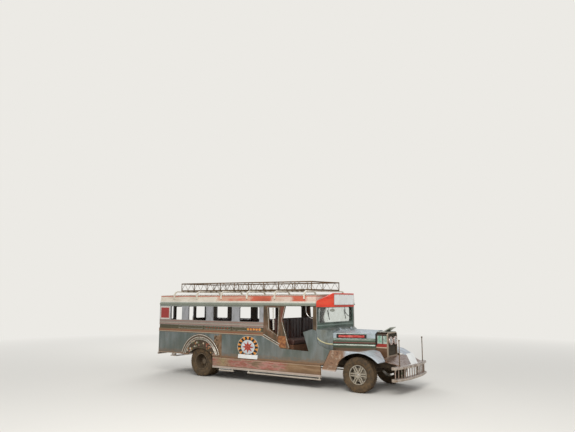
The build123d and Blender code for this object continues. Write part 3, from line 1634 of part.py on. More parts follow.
with BuildPart() as bumper:
    with BuildSketch(side_plane(bumper_half)):
        with BuildLine():
            Polyline(
                (front_axle_x + apron_rear, apron_rear_z),
                (front_axle_x + apron_front, bumper_top_z),
                (front_axle_x + apron_front, bumper_top_z - apron_sheet),
                (front_axle_x + apron_rear, apron_rear_z - apron_sheet),
                close=True,
            )
        make_face()
    extrude(amount=2 * bumper_half)
    with BuildSketch(Plane.XY.offset(bumper_bottom_z)):
        with BuildLine():
            Polyline(
                *[(front_axle_x + x, -half) for x, half in apron_plan],
                *[(front_axle_x + x, half) for x, half in reversed(apron_plan)],
                close=True,
            )
        make_face()
    extrude(amount=apron_rear_z - bumper_bottom_z, mode=Mode.INTERSECT)
    for low_z in (bumper_bottom_z, bumper_top_z - bumper_rail_height):
        with BuildSketch(Plane.XY.offset(low_z)):
            with BuildLine():
                ThreePointArc(
                    (bumper_x(bumper_half, 0), -bumper_half),
                    (bumper_x(0, 0), 0),
                    (bumper_x(bumper_half, 0), bumper_half),
                )
                Line((bumper_x(bumper_half, 0), bumper_half), (bumper_x(bumper_half, bumper_depth), bumper_half))
                ThreePointArc(
                    (bumper_x(bumper_half, bumper_depth), bumper_half),
                    (bumper_x(0, bumper_depth), 0),
                    (bumper_x(bumper_half, bumper_depth), -bumper_half),
                )
                Line((bumper_x(bumper_half, bumper_depth), -bumper_half), (bumper_x(bumper_half, 0), -bumper_half))
            make_face()
        extrude(amount=bumper_rail_height)
    fillet(bumper.faces().sort_by(Axis.X)[-2:].edges(), bumper_corner)
    for y in (-frame_half, frame_half):
        with Locations((front_axle_x + frame_front, y, bumper_top_z - bumper_rail_height)):
            Box(
                front_overhang - bumper_depth - frame_front,
                rail_width,
                bumper_rail_height,
                align=(Align.MIN, Align.CENTER, Align.MIN),
            )
        with Locations((bumper_x(frame_half, bumper_depth), y, bumper_bottom_z)):
            Box(
                bumper_iron,
                rail_width,
                bumper_top_z - bumper_bottom_z,
                align=(Align.MIN, Align.CENTER, Align.MIN),
            )
save(bumper.part, "bumper")

# Upright bars between the bumper's two rails
upright_pitch = 2 * (bumper_half - upright_inset) / (upright_count - 1)

with BuildPart() as bumper_bars:
    for number in range(upright_count):
        y = upright_inset - bumper_half + number * upright_pitch
        with BuildSketch(Plane.XY.offset(bumper_bottom_z + bumper_rail_height)):
            with Locations((bumper_x(y, bumper_depth / 2), y)):
                Circle(upright_radius)
        extrude(amount=bumper_top_z - bumper_bottom_z - 2 * bumper_rail_height)
save(bumper_bars.part, "bumper_bars")

# Width poles with round knobs, standing on the upper rail
with BuildPart() as corner_poles:
    for y in (-pole_y, pole_y):
        with BuildSketch(Plane.XY.offset(bumper_top_z)):
            with Locations((bumper_x(y, bumper_depth / 2), y)):
                Circle(pole_radius)
        extrude(amount=pole_top_z - bumper_top_z - knob_radius)
        with Locations((bumper_x(y, bumper_depth / 2), y, pole_top_z - knob_radius)):
            Sphere(knob_radius)
save(corner_poles.part, "corner_poles")

with BuildPart() as licence_plate:
    plate_foot_x = front_axle_x + front_overhang - bumper_depth / 3
    plate_top_x = plate_foot_x - plate_height * sin(radians(plate_lean))
    plate_top_z = bumper_top_z + plate_height * cos(radians(plate_lean))
    with BuildSketch(side_plane(plate_width / 2)):
        with BuildLine():
            Polyline(
                (plate_foot_x, bumper_top_z),
                (plate_foot_x, bumper_top_z + plate_sheet),
                (plate_top_x, plate_top_z + plate_sheet),
                (plate_top_x - plate_sheet, plate_top_z),
                (plate_foot_x - 2 * plate_sheet, bumper_top_z + plate_sheet),
                (plate_foot_x - plate_foot, bumper_top_z + plate_sheet),
                (plate_foot_x - plate_foot, bumper_top_z),
                close=True,
            )
        make_face()
    extrude(amount=plate_width)
save(licence_plate.part, "licence_plate")
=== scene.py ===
# %% [markdown]
# A jeepney is a long open-sided bus, built up by hand from stainless sheet, steel tube and enamel paint.
# Its solids come from the CAD model as a fixed frame in metres: X forward, Y to the vehicle's left, Z up.
# Everything made here is laid on that frame, so nothing has to be fitted afterwards.

# %% Load the frame
import bmesh
import bpy
from math import cos, exp, pi, radians, sin
from mathutils import Matrix, Vector


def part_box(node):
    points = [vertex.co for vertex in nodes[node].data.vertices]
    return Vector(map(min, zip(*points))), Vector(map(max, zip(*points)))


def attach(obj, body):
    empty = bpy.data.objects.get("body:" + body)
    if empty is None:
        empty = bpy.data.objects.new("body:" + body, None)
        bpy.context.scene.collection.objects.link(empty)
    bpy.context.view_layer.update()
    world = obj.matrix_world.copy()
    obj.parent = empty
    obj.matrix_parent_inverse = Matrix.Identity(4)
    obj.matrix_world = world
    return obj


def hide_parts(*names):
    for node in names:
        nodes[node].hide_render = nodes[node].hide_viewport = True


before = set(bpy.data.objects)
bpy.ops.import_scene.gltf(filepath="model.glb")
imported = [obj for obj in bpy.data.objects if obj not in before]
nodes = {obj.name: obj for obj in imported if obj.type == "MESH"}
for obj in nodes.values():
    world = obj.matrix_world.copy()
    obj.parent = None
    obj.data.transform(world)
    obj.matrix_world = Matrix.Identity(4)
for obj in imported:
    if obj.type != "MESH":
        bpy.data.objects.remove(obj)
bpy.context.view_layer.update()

# %% [markdown]
# Places that many pieces share are read from the CAD nodes, so that a piece follows its solid.
# The builders of these bodies measure from the front axle, and so does this script.

# %% Shared places
front_low, front_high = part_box("front_tyre_right")
front_axle_x = (front_low.x + front_high.x) / 2
rear_low, rear_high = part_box("rear_tyres_left")
rear_axle_x = (rear_low.x + rear_high.x) / 2
tyre_radius = (rear_high.z - rear_low.z) / 2
body_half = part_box("side_skirts")[1].y
belt_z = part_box("window_frame_left")[0].z


def ahead(distance):
    """X of a place so many metres in front of the front axle, or behind it if negative."""
    return front_axle_x + distance


def placed(name, data):
    """A new object in the scene for a mesh, a lamp or a camera."""
    made = bpy.data.objects.new(name, data)
    bpy.context.scene.collection.objects.link(made)
    return made


print("axles at", round(front_axle_x, 3), round(rear_axle_x, 3), "tyre radius", round(tyre_radius, 3))

# %% [markdown]
# The camera stands to the right of the vehicle and in front of it, at eye height, thirteen metres away.
# The lens angle comes from the same perspective fit as the vehicle's sizes.

# %% Camera
SENSOR_MM, FOCAL_PIXELS, PICTURE_PIXELS = 36.0, 544.9, 575.0
heading, pitch, roll = radians(124.35), radians(8.67), radians(0.09)
camera_data = bpy.data.cameras.new("camera")
camera_data.sensor_width = SENSOR_MM
camera_data.lens = SENSOR_MM * FOCAL_PIXELS / PICTURE_PIXELS
camera_data.clip_end = 300
camera = placed("camera", camera_data)
camera.location = (7.632, -10.934, 1.85)
look = Vector((cos(heading) * cos(pitch), sin(heading) * cos(pitch), sin(pitch)))
camera.rotation_euler = (look.to_track_quat("-Z", "Y").to_matrix() @ Matrix.Rotation(roll, 3, "Z")).to_euler()
bpy.context.scene.camera = camera
bpy.context.scene.view_settings.view_transform = "Standard"
print("camera lens", round(camera_data.lens, 2), "mm")

# %% [markdown]
# Colours are written as sRGB hex codes, the way a paint shop gives them.
# The renderer works in linear light, so one function turns a code into linear numbers.
# A second small function adds a shader or geometry node of any kind, sets it and links it.

# %% Colour and node helpers


def linear(code):
    """Linear red, green, blue and 1.0 for an sRGB code such as 8a7462."""
    channels = [int(code[i : i + 2], 16) / 255 for i in (0, 2, 4)]
    return tuple(c / 12.92 if c <= 0.04045 else ((c + 0.055) / 1.055) ** 2.4 for c in channels) + (1,)


def add(tree, kind, inputs=(), stops="", **settings):
    """Adds a node with its settings, inputs and colour ramp stops, and gives its outputs.

    An input takes a value, an sRGB code or another node's output. Stops are written as percent:code.
    """
    node = tree.nodes.new(kind)
    for name, value in settings.items():
        setattr(node, name, value)
    for name, value in dict(inputs).items():
        if isinstance(value, bpy.types.NodeSocket):
            tree.links.new(value, node.inputs[name])
        else:
            node.inputs[name].default_value = linear(value) if isinstance(value, str) else value
    if stops:
        pairs = [stop.split(":") for stop in stops.split()]
        while len(node.color_ramp.elements) < len(pairs):
            node.color_ramp.elements.new(0.5)
        for element, (place, code) in zip(node.color_ramp.elements, pairs):
            element.position = int(place) / 100
            element.color = linear(code)
    return node.outputs


print("helpers ready; 808080 is", round(linear("808080")[0], 3), "in linear light")

# %% [markdown]
# Nearly every surface here is a sheet or tube that has spent years on sandy roads.
# Its finish is built in layers as it comes about: paint or metal, then blotches where it has faded,
# bare or rusty spots where it has worn, and dust that lies low down and on faces that look up.
# Object coordinates are metres in the vehicle's frame, so each pattern has a real size in millimetres.

# %% Layers of a weathered finish
DUST = "927b5c"
SHARP_EDGE = 0.0012


def cloud(tree, place, size_mm, detail=4, stretch=(1, 1, 1), seed=0):
    """Soft random pattern from 0 to 1 with blotches of about that size, longer along a stretched axis."""
    spread = {"Vector": place, "Location": (seed, seed, seed), "Scale": [1 / s for s in stretch]}
    spread = add(tree, "ShaderNodeMapping", spread)["Vector"]
    pattern = {"Vector": spread, "Scale": 1000 / size_mm, "Detail": detail, "Roughness": 0.6}
    return add(tree, "ShaderNodeTexNoise", pattern)["Fac"]


def mottled(size_mm, stops, seed=0, stretch=(1, 1, 1), detail=4):
    """Paint recipe: blotches of about that size, in colours from a ramp."""

    def recipe(tree, place):
        pattern = cloud(tree, place, size_mm, detail, stretch, seed)
        return add(tree, "ShaderNodeValToRGB", {"Fac": pattern}, stops)["Color"]

    return recipe


def painted(base, *areas):
    """Paint recipe: a base, and areas of other paint over it, each a paint and its ranges.

    A range is along X or Z, or A, the distance ahead of the front axle, or S, the distance from the middle,
    or R, the distance from the rear axle. A fourth number makes its ends ragged over so many metres.
    An area that is text gives bands of height, each with its low edge, high edge and colour.
    """
    listed = []
    for area in areas:
        if isinstance(area, str):
            bands = [band.split() for band in area.split(",")]
            listed += [(code, ("Z", float(low), float(high))) for low, high, code in bands]
        else:
            listed.append(area)

    def recipe(tree, place):
        colour = base(tree, place) if callable(base) else base
        xyz = add(tree, "ShaderNodeSeparateXYZ", {"Vector": place})
        side = add(tree, "ShaderNodeMath", {0: xyz["Y"]}, operation="ABSOLUTE")[0]
        flat = {"Vector": place, "Location": (-rear_axle_x, 0, -tyre_radius), "Scale": (1, 0, 1)}
        flat = add(tree, "ShaderNodeMapping", flat)["Vector"]
        reach = add(tree, "ShaderNodeVectorMath", {0: flat}, operation="LENGTH")["Value"]
        axes = {"X": xyz["X"], "A": xyz["X"], "Z": xyz["Z"], "S": side, "R": reach}
        for paint, *ranges in listed:
            share = 1
            for axis, low, high, *soft in ranges:
                if axis == "A":
                    low, high = ahead(low), ahead(high)
                edge = soft[0] if soft else SHARP_EDGE
                value = axes[axis]
                if soft:
                    ragged = {0: cloud(tree, place, 70, detail=5, seed=low), 1: 0.5}
                    ragged = add(tree, "ShaderNodeMath", ragged, operation="SUBTRACT")[0]
                    ragged = add(tree, "ShaderNodeMath", {0: ragged, 1: 4 * edge}, operation="MULTIPLY")[0]
                    value = add(tree, "ShaderNodeMath", {0: value, 1: ragged}, operation="ADD")[0]
                past = {}
                for k, border in enumerate((low, high)):
                    slope = {"Value": value, "From Min": border - edge, "From Max": border + edge}
                    past[k] = add(tree, "ShaderNodeMapRange", slope)["Result"]
                inside = add(tree, "ShaderNodeMath", past, operation="SUBTRACT")[0]
                share = add(tree, "ShaderNodeMath", {0: share, 1: inside}, operation="MULTIPLY")[0]
            over = paint(tree, place) if callable(paint) else paint
            colour = add(tree, "ShaderNodeMix", {0: share, 6: colour, 7: over}, data_type="RGBA")[2]
        return colour

    return recipe


def dress(material, names):
    """Gives the CAD nodes named in a line of text a material."""
    for name in names.split():
        nodes[name].data.materials.clear()
        nodes[name].data.materials.append(material)
    print(material.name, "on", names or "pieces made here")
    return material


def blank(name):
    """A new material, with its tree, its shader and Object coordinates."""
    material = bpy.data.materials.new(name)
    material.use_nodes = True
    tree = material.node_tree
    return material, tree, tree.nodes["Principled BSDF"], add(tree, "ShaderNodeTexCoord")["Object"]


def weathered(name, paint, finish, dressed="", worn="6b4a33", grain_mm=6, bump_mm=0.4, sheen=0):
    """A material with wear, dust and fine bump over a paint recipe or colour, and the CAD nodes dressed in it.

    The finish is metallic, roughness, dust, the height up to which dust lies, and wear.
    """
    metallic, roughness, dust, dust_top, wear = finish
    material, tree, shader, place = blank(name)
    # a plain colour gets soft light and dark blotches; a recipe comes with its own
    if callable(paint):
        colour = paint(tree, place)
    else:
        plain = mottled(180, "30:857a6a 70:b0b0b0", 0.6)(tree, place)
        soft = {0: 0.6, 6: paint, 7: plain}
        colour = add(tree, "ShaderNodeMix", soft, data_type="RGBA", blend_type="SOFT_LIGHT")[2]
    # the paint has faded in wide blotches
    faded = {"Value": cloud(tree, place, 260, seed=3.1), "From Min": 0.35, "From Max": 0.75}
    faded = add(tree, "ShaderNodeMapRange", faded)["Result"]
    faded = add(tree, "ShaderNodeMath", {0: faded, 1: 0.22}, operation="MULTIPLY")[0]
    faded = {0: faded, 6: colour, 7: DUST}
    colour = add(tree, "ShaderNodeMix", faded, data_type="RGBA", blend_type="MULTIPLY")[2]
    # it is worn through in small spots
    spots = {"Value": cloud(tree, place, 45, detail=8, seed=7.7), "From Min": 0.6, "From Max": 0.68}
    spots = add(tree, "ShaderNodeMapRange", spots)["Result"]
    spots = add(tree, "ShaderNodeMath", {0: spots, 1: wear}, operation="MULTIPLY")[0]
    colour = add(tree, "ShaderNodeMix", {0: spots, 6: colour, 7: worn}, data_type="RGBA")[2]
    # dust lies in drifts, low down and on faces that look up
    height = add(tree, "ShaderNodeSeparateXYZ", {"Vector": place})["Z"]
    height = {"Value": height, "From Min": 0.15, "From Max": dust_top}
    height = add(tree, "ShaderNodeMapRange", height)["Result"]
    low = add(tree, "ShaderNodeMath", {0: 1, 1: height}, operation="SUBTRACT")[0]
    normal = add(tree, "ShaderNodeNewGeometry")["Normal"]
    upward = add(tree, "ShaderNodeSeparateXYZ", {"Vector": normal})["Z"]
    upward = add(tree, "ShaderNodeMapRange", {"Value": upward, "From Min": 0.3, "From Max": 1})["Result"]
    upward = add(tree, "ShaderNodeMath", {0: upward, 1: 0.45}, operation="MULTIPLY")[0]
    settled = add(tree, "ShaderNodeMath", {0: low, 1: upward}, operation="MAXIMUM")[0]
    drift = {"Value": cloud(tree, place, 90, detail=6, seed=1.3), "From Min": 0.25, "From Max": 0.8}
    drift = add(tree, "ShaderNodeMapRange", drift)["Result"]
    share = add(tree, "ShaderNodeMath", {0: settled, 1: drift}, operation="MULTIPLY")[0]
    share = add(tree, "ShaderNodeMath", {0: share, 1: dust}, operation="MULTIPLY")[0]
    colour = add(tree, "ShaderNodeMix", {0: share, 6: colour, 7: DUST}, data_type="RGBA")[2]
    tree.links.new(colour, shader.inputs["Base Color"])
    # roughness and bump share one fine grain, and dust is rougher than paint
    fine = cloud(tree, place, grain_mm, detail=3, seed=5)
    rough = {"Value": fine, "To Min": max(roughness - 0.12, 0.05), "To Max": min(roughness + 0.12, 1)}
    rough = add(tree, "ShaderNodeMapRange", rough)["Result"]
    dusty = add(tree, "ShaderNodeMath", {0: share, 1: 0.35}, operation="MULTIPLY")[0]
    rough = add(tree, "ShaderNodeMath", {0: rough, 1: dusty}, operation="ADD")[0]
    tree.links.new(rough, shader.inputs["Roughness"])
    relief = add(tree, "ShaderNodeBump", {"Strength": 0.35, "Distance": bump_mm / 1000, "Height": fine})
    tree.links.new(relief["Normal"], shader.inputs["Normal"])
    shader.inputs["Metallic"].default_value = metallic
    shader.inputs["Sheen Weight"].default_value = sheen
    return dress(material, dressed)


print("layers ready over dust", DUST)

# %% [markdown]
# The body sides are stainless sheet, dulled by dust and stained in soft upright streaks of green and
# red-brown. The stains are worked into the colour, so that they stay in place when the view moves.
# Its lower edge is scuffed brown by the road, and the paint round the rear arch has half gone.

# %% Stainless sheet of the body sides
sheet_stains = mottled(420, "28:56625a 42:69726d 54:808785 66:76756c 80:83705f", 2, (1, 1, 4), 3)


def petals(tree, place):
    """Small hand-painted dabs of white, green, red and ochre between dark ones, each about 60 mm."""
    cells = add(tree, "ShaderNodeTexVoronoi", {"Vector": place, "Scale": 16, "Randomness": 1})
    tone = add(tree, "ShaderNodeSeparateColor", {"Color": cells["Color"]})["Red"]
    stops = "0:3b3527 24:5f6a45 42:c9c0ac 62:a24a36 78:b98f52 100:dcd5c6"
    dabs = add(tree, "ShaderNodeValToRGB", {"Fac": tone}, stops)["Color"]
    rims = {"Value": cells["Distance"], "From Min": 0.34, "From Max": 0.46}
    rims = add(tree, "ShaderNodeMapRange", rims)["Result"]
    return add(tree, "ShaderNodeMix", {0: rims, 6: dabs, 7: "4a3a2b"}, data_type="RGBA")[2]


brown_dabs = mottled(45, "34:3f3122 48:6f563c 58:a5866a 70:594330", 4.2, detail=5)
brown_strip = mottled(80, "36:6b503a 50:856649 62:9a8168 76:6f5842", 9.1, (1, 1, 2))
road_scuffs = mottled(70, "36:6c6e68 48:8a7461 58:70706a 70:9a8672", 6.6, (4, 1, 1))
side_sheet = painted(
    sheet_stains,
    (road_scuffs, ("Z", 0, 0.585, 0.035)),
    (brown_dabs, ("A", -3.8, -3.62), ("Z", 0, 0.99, 0.02)),
    ("6b5846", ("R", 0, 0.66, 0.012)),
    (petals, ("R", 0, 0.57)),
    (brown_strip, ("A", -3.66, -3.56, 0.01), ("Z", 0, 1.02)),
    "0 0.53 8b6b52",
)
stainless = weathered(
    "stainless_sheet", side_sheet, (0.45, 0.3, 0.55, 1, 0.2), "side_panel_left side_panel_right",
    worn="6a5238", bump_mm=0.2,
)

# %% [markdown]
# The window row is one pressed frame, painted in bands: a dusty belt rail, a dark channel, a tan sill
# with thin red lines, lilac-silver posts and a grey-green header. The last bay is a red panel.
# Ranges of height and length place each band, so they run level round the body.

# %% Enamel bands of the window row
lilac_posts = mottled(120, "35:8f918e 55:a9a9ac 70:9b9a98", 4, (1, 1, 3))
window_bands = painted(
    lilac_posts,
    ("86694c", ("Z", belt_z, 1.118)),
    "1.07 1.078 a2452f, 1.04 1.052 b9a892, 1.118 1.206 565039, 1.206 1.333 94887d, 1.228 1.234 a04a3a",
    "1.25 1.262 b5a595, 1.306 1.312 a04a3a, 1.668 1.75 8b8f84",
    ("d8d2c6", ("A", -5.68, -5.33), ("Z", 1.34, 1.66), ("S", 0.872, 1)),
    ("a53c36", ("A", -5.65, -5.36), ("Z", 1.37, 1.63), ("S", 0.872, 1)),
    ("5b5142", ("S", 0, 0.872)),
)
window_enamel = weathered(
    "enamel_window_bands", window_bands, (0.2, 0.42, 0.3, 0.9, 0.35),
    "window_frame_left window_frame_right", worn="6e5544",
)
WALL_INSIDE = -3.2215
rear_paint = painted(
    lilac_posts,
    (sheet_stains, ("Z", 0, belt_z)),
    "0 0.53 8b6b52",
    ("86694c", ("Z", belt_z, 1.118)),
    "1.06 1.09 a53c36, 1.118 1.333 94887d, 1.306 1.312 a04a3a, 1.668 1.75 8b8f84",
    ("5b5142", ("X", WALL_INSIDE, 0)),
)
weathered("enamel_rear_wall", rear_paint, (0.2, 0.42, 0.4, 0.9, 0.35), "rear_wall")

# %% [markdown]
# The skirt under the doors takes the stones and the mud. Its red and pink paint is worn to streaks
# towards the rear, and the front half has gone down to brown primer and dust.

# %% Worn enamel of the skirts
pink_streaks = mottled(70, "34:6f5a43 43:96735f 50:b58378 57:a2574b 66:8e6a55 76:b3a48c", 6, (5, 1, 1), 6)
brown_primer = mottled(90, "36:735538 52:8b6a4a 66:a08362", 9, (6, 1, 1), 6)
skirt_paint = painted(
    pink_streaks,
    (mottled(50, "36:6a5a3e 50:a8926a 62:7f6a48 74:4a4130", 7.2), ("A", -3.66, -3.36, 0.13)),
    (brown_primer, ("A", -1.75, 0, 0.08)),
    "0 0.3 7a6250, 0.262 0.286 cbb8ac, 0.462 0.47 b9a48a, 0.484 0.51 6b4f38, 0 0.2575 c5bdb0",
)
weathered("worn_enamel_skirt", skirt_paint, (0.1, 0.55, 0.45, 0.75, 0.4), "side_skirts")

# %% [markdown]
# The roof band is the painter's strip: cream at the rear, then salmon, then pale pink at the front,
# with a grey-green gutter below, along whose top runs a pale painted highlight. Above the band the roof is chalky
# cream under dust.

# %% Painted roof
cream_band = mottled(160, "35:cbbda6 55:ddd2c0 70:c4aa94", 1.7, (5, 1, 1))
salmon = mottled(110, "36:c9a890 52:cf9a80 62:c4705a 74:d7c3ae", 2.9, (5, 1, 1))
red_band = mottled(110, "36:b5583c 52:d0664a 62:b04a32 74:d7a58c", 4.1, (5, 1, 1))
blush = mottled(140, "36:cdb09c 55:d9c4b4 70:c48f78", 5.9, (5, 1, 1))
roof_bands = painted(
    cream_band,
    (salmon, ("A", -3.75, -2.7, 0.06)),
    (red_band, ("A", -2.72, -2.1, 0.05)),
    (blush, ("A", -2.1, 0, 0.04)),
    (red_band, ("A", -1.56, -1.2, 0.04)),
    # the pale line from 1.758 to 1.768 is a painted highlight along the top of the gutter
    "1.905 1.925 b9604c, 1.772 1.8 dcd3c4, 1.925 2.1 a99c88, 1 1.772 878b7c, 1.758 1.768 c4c8bb",
)
roof_enamel = weathered(
    "chalky_roof_enamel", roof_bands, (0, 0.6, 0.5, 0.3, 0.35), "roof", worn="7a6753",
)

# %% [markdown]
# The hood is polished stainless, and its top and the upper half of its sides carry a painted reflection
# of the pale sky. A red line and a darker edge follow near the joint, and the fixed hood sides below it are dark
# green.

# %% Hood and cowl sheet
# the pale blue-white of this ramp is a painted reflection of the sky on the polished hood
painted_sky_reflection = mottled(260, "34:9aa6a8 50:bcc7cc 66:a8b4b3", 2.5, (2.5, 1, 1))
green_polish = mottled(150, "35:7f8b80 52:9aa99c 68:6f786c", 8, (4, 1, 1))
hood_paint = painted(
    painted_sky_reflection,
    (green_polish, ("Z", 0.9, 1.035)),
    "0.952 0.988 55604f, 0.934 0.95 7c2f2a, 0.9 0.934 4a4c3e",
)
weathered(
    "polished_stainless_hood", hood_paint, (0.4, 0.27, 0.2, 0.8, 0.15), "hood", worn="5c5a4a",
    bump_mm=0.2,
)
cowl_steel = weathered(
    "stainless_cowl", mottled(180, "35:69716c 52:8d948f 70:7b7c70", 4.4, (1, 1, 2)),
    (0.45, 0.32, 0.12, 0.9, 0.25), "cowl",
)
side_paint = painted("46513f", "0.8 0.83 6b5a46")
weathered("green_enamel_hood_side", side_paint, (0.2, 0.38, 0.35, 1.1, 0.25), "hood_sides")

# %% [markdown]
# The front fenders are beaten by hand. The rear half has gone to rust brown, while the outer skin and
# the front slope carry a painted reflection of the sky in pale blue-white. The heel keeps a chalky lower edge.

# %% Fenders with rust and a painted sky reflection
rust_skin = mottled(95, "34:6f5140 44:9c775c 55:85664f 66:b79c86 78:8f7460", 1, detail=7)
# painted reflection of the sky: the pale blue-white laid on the outer skin and the front slope
fender_sky_reflection = mottled(140, "34:a9afb2 52:c9d1d8 66:b8bcbb 78:98836c", 3, (2.5, 1, 1))
fender_paint = painted(
    rust_skin,
    (fender_sky_reflection, ("A", -0.27, 0.7, 0.05), ("S", 0.845, 1)),
    (fender_sky_reflection, ("A", 0.04, 0.7, 0.05)),
    ("7f5c48", ("A", -0.6, 0.02, 0.04), ("S", 0, 0.82, 0.02), ("Z", 0.78, 0.83)),
    "0.38 0.416 c9b3a4",
)
fender_enamel = weathered(
    "rust_and_painted_reflection_fender", fender_paint, (0.3, 0.34, 0.4, 0.8, 0.35), "front_fenders", worn="7c5236",
)

# %% [markdown]
# The grille shell has painted bands round its sides: pale mint panels between dark dividers on top,
# then red, a cream line and brown. Its front border is tan, and the bars behind the lamps are dark.

# %% Grille shell bands
mint_panel = mottled(60, "40:7fae97 52:c8d3c6 64:8aa394", 6.1, (1, 1, 2))
shell_bands = painted(
    "6f5038",
    "0.846 0.868 cdb79c, 0.868 0.935 a5392f",
    (mint_panel, ("Z", 0.935, 1.095)),
    "1.095 1.13 3d3a30",
    ("3a2f26", ("A", 0.12, 0.162), ("Z", 0.9, 1.2)),
    ("4a2c22", ("A", 0.272, 0.292), ("Z", 0.93, 1.13)),
    ("a3907a", ("A", 0.372, 0.42)),
    ("5c5344", ("S", 0, 0.2125), ("Z", 0.695, 1.142)),
    "1.168 1.4 a9ada0",
)
weathered("banded_shell_enamel", shell_bands, (0.35, 0.3, 0.3, 0.9, 0.3), "grille_shell", worn="6a5036")

# %% [markdown]
# Lamps, rails and rear step are chromed. Old chrome is still bright, but it is hazy, pinkish where the
# copper shows through, and spotted with rust. The bumper's apron is worn and its bars are patched with
# odd paint, the roof hoops are cream, and the corner poles and the rack have gone to rust.

# %% Old chrome and painted tube
weathered(
    "old_chrome", mottled(130, "32:a3907f 46:c9bcb2 58:d8d2ca 74:b98a72", 2.2, detail=5),
    (0.75, 0.24, 0.45, 0.6, 0.3), "rear_step", worn="6d4630",
)
weathered(
    "patched_bar_enamel", mottled(60, "34:54624c 44:9c9183 54:ab8a7c 64:c2b9b0 78:6c5545", 5.1),
    (0.5, 0.3, 0.4, 0.6, 0.3), "bumper_bars", worn="6d4630",
)
apron_rust = mottled(80, "34:633f2b 46:8c6a54 58:a5968a 72:7f5139", 3.2, detail=5)
bumper_haze = mottled(130, "32:8b7461 46:b3a496 58:c9beb2 74:a2755b", 2.2, detail=5)
apron_paint = painted(
    bumper_haze,
    (apron_rust, ("A", 0.39, 0.85), ("Z", 0.547, 0.68), ("S", 0, 0.72)),
)
weathered("worn_bumper_apron", apron_paint, (0.65, 0.26, 0.4, 0.6, 0.3), "bumper", worn="6d4630")
bright_chrome = weathered(
    "bright_chrome", mottled(60, "40:c3bdb4 60:dcd6d0", 1.1), (0.9, 0.16, 0.3, 0.7, 0.1), "grab_rails",
    worn="7b6a55",
)
weathered(
    "pink_worn_lamp_chrome", mottled(60, "40:cdb0a4 60:ead9d2", 1.9), (0.5, 0.2, 0.2, 0.7, 0.15),
    "headlamps",
)
weathered(
    "cream_enamel_tube", mottled(60, "36:cfc6b2 56:e6dfd0 72:bda88c", 7), (0, 0.4, 0.15, 0.4, 0.35),
    "roof_hoops", worn="8b6a4c",
)
weathered(
    "rusty_steel", mottled(50, "35:4d3b26 52:6f5636 68:80603f", 3.7), (0.3, 0.65, 0.3, 0.5, 0.6),
    "roof_rack rack_slats corner_poles", worn="7b4327",
)

# %% [markdown]
# The destination board is a red enamelled prow. The windshield frame is dark green with a pale band
# painted in as a highlight, and its outer side, like the door posts, is red-brown and olive.

# %% Enamels of the front end
weathered(
    "red_sign_enamel", mottled(140, "35:b93320 52:e2452b 68:d0583a", 4.9, (3, 3, 1)),
    (0, 0.32, 0.15, 0.4, 0.2), "destination_board", worn="d8775a",
)
screen_paint = painted(
    mottled(160, "35:2f3f36 52:4d5f52 66:66766a", 3.3, (1, 4, 1)),
    # the pale band from 1.285 to 1.3 is a painted highlight on the frame's lower rail
    "1.285 1.3 8fa197, 1.19 1.215 1f2a24",
    (mottled(90, "36:4a3b2a 54:6b573f 70:7c7260", 5.1, (1, 1, 4)), ("S", 0.835, 1)),
)
weathered("dark_green_enamel", screen_paint, (0.2, 0.3, 0.2, 0.9, 0.2), "windshield_frame dashboard")
orange_patch = mottled(60, "36:6c4028 52:9c6338 66:b07c4b", 2.4)
post_paint = painted(
    mottled(110, "34:3f3426 48:5c4a33 58:6f5038 72:8a8272", 5.5, (1, 1, 3)),
    (orange_patch, ("A", -1.93, -1.72), ("Z", 0.8, 1.05)),
    ("70402f", ("A", -1.86, -1.76), ("Z", 1.35, 1.68)),
)
weathered("red_brown_post_enamel", post_paint, (0.15, 0.42, 0.3, 0.9, 0.45), "door_pillars")

# %% [markdown]
# Under the body everything is the same road brown: chassis paint, cast iron and rubber under dust.
# The floor is worn tread plate, the seat boxes are painted plywood, and the radiator has fine fins.

# %% Chassis, floor and boxes
weathered("dusty_chassis_paint", "2b2622", (0, 0.7, 0.8, 0.9, 0.3), "chassis_frame fuel_tank")
weathered(
    "dusty_cast_iron", "3b332a", (0.4, 0.65, 0.7, 0.9, 0.5),
    "front_axle rear_axle knuckle_left knuckle_right tie_rod leaf_springs "
    "propeller_shaft engine_block exhaust steering_column",
)
weathered(
    "painted_plywood", mottled(70, "35:5a3b28 55:744f38 72:63442f", 3.5, (8, 1, 1)),
    (0, 0.6, 0.4, 1, 0.25), "bench_boxes front_seat_box",
)


def tread_plate(tree, place):
    """Worn steel plate with raised diamonds every 30 mm, which wear bright."""
    xyz = add(tree, "ShaderNodeSeparateXYZ", {"Vector": place})
    waves = {}
    for k, way in enumerate(("ADD", "SUBTRACT")):
        diagonal = add(tree, "ShaderNodeMath", {0: xyz["X"], 1: xyz["Y"]}, operation=way)[0]
        turns = add(tree, "ShaderNodeMath", {0: diagonal, 1: 2 * pi / 0.042}, operation="MULTIPLY")[0]
        waves[k] = add(tree, "ShaderNodeMath", {0: turns}, operation="SINE")[0]
    crossed = add(tree, "ShaderNodeMath", waves, operation="MULTIPLY")[0]
    diamonds = {"Value": crossed, "From Min": 0.45, "From Max": 0.6}
    diamonds = add(tree, "ShaderNodeMapRange", diamonds)["Result"]
    return add(tree, "ShaderNodeMix", {0: diamonds, 6: "5d564b", 7: "938b7e"}, data_type="RGBA")[2]


weathered("worn_tread_plate", tread_plate, (0.5, 0.5, 0.6, 1.2, 0.25), "floor")


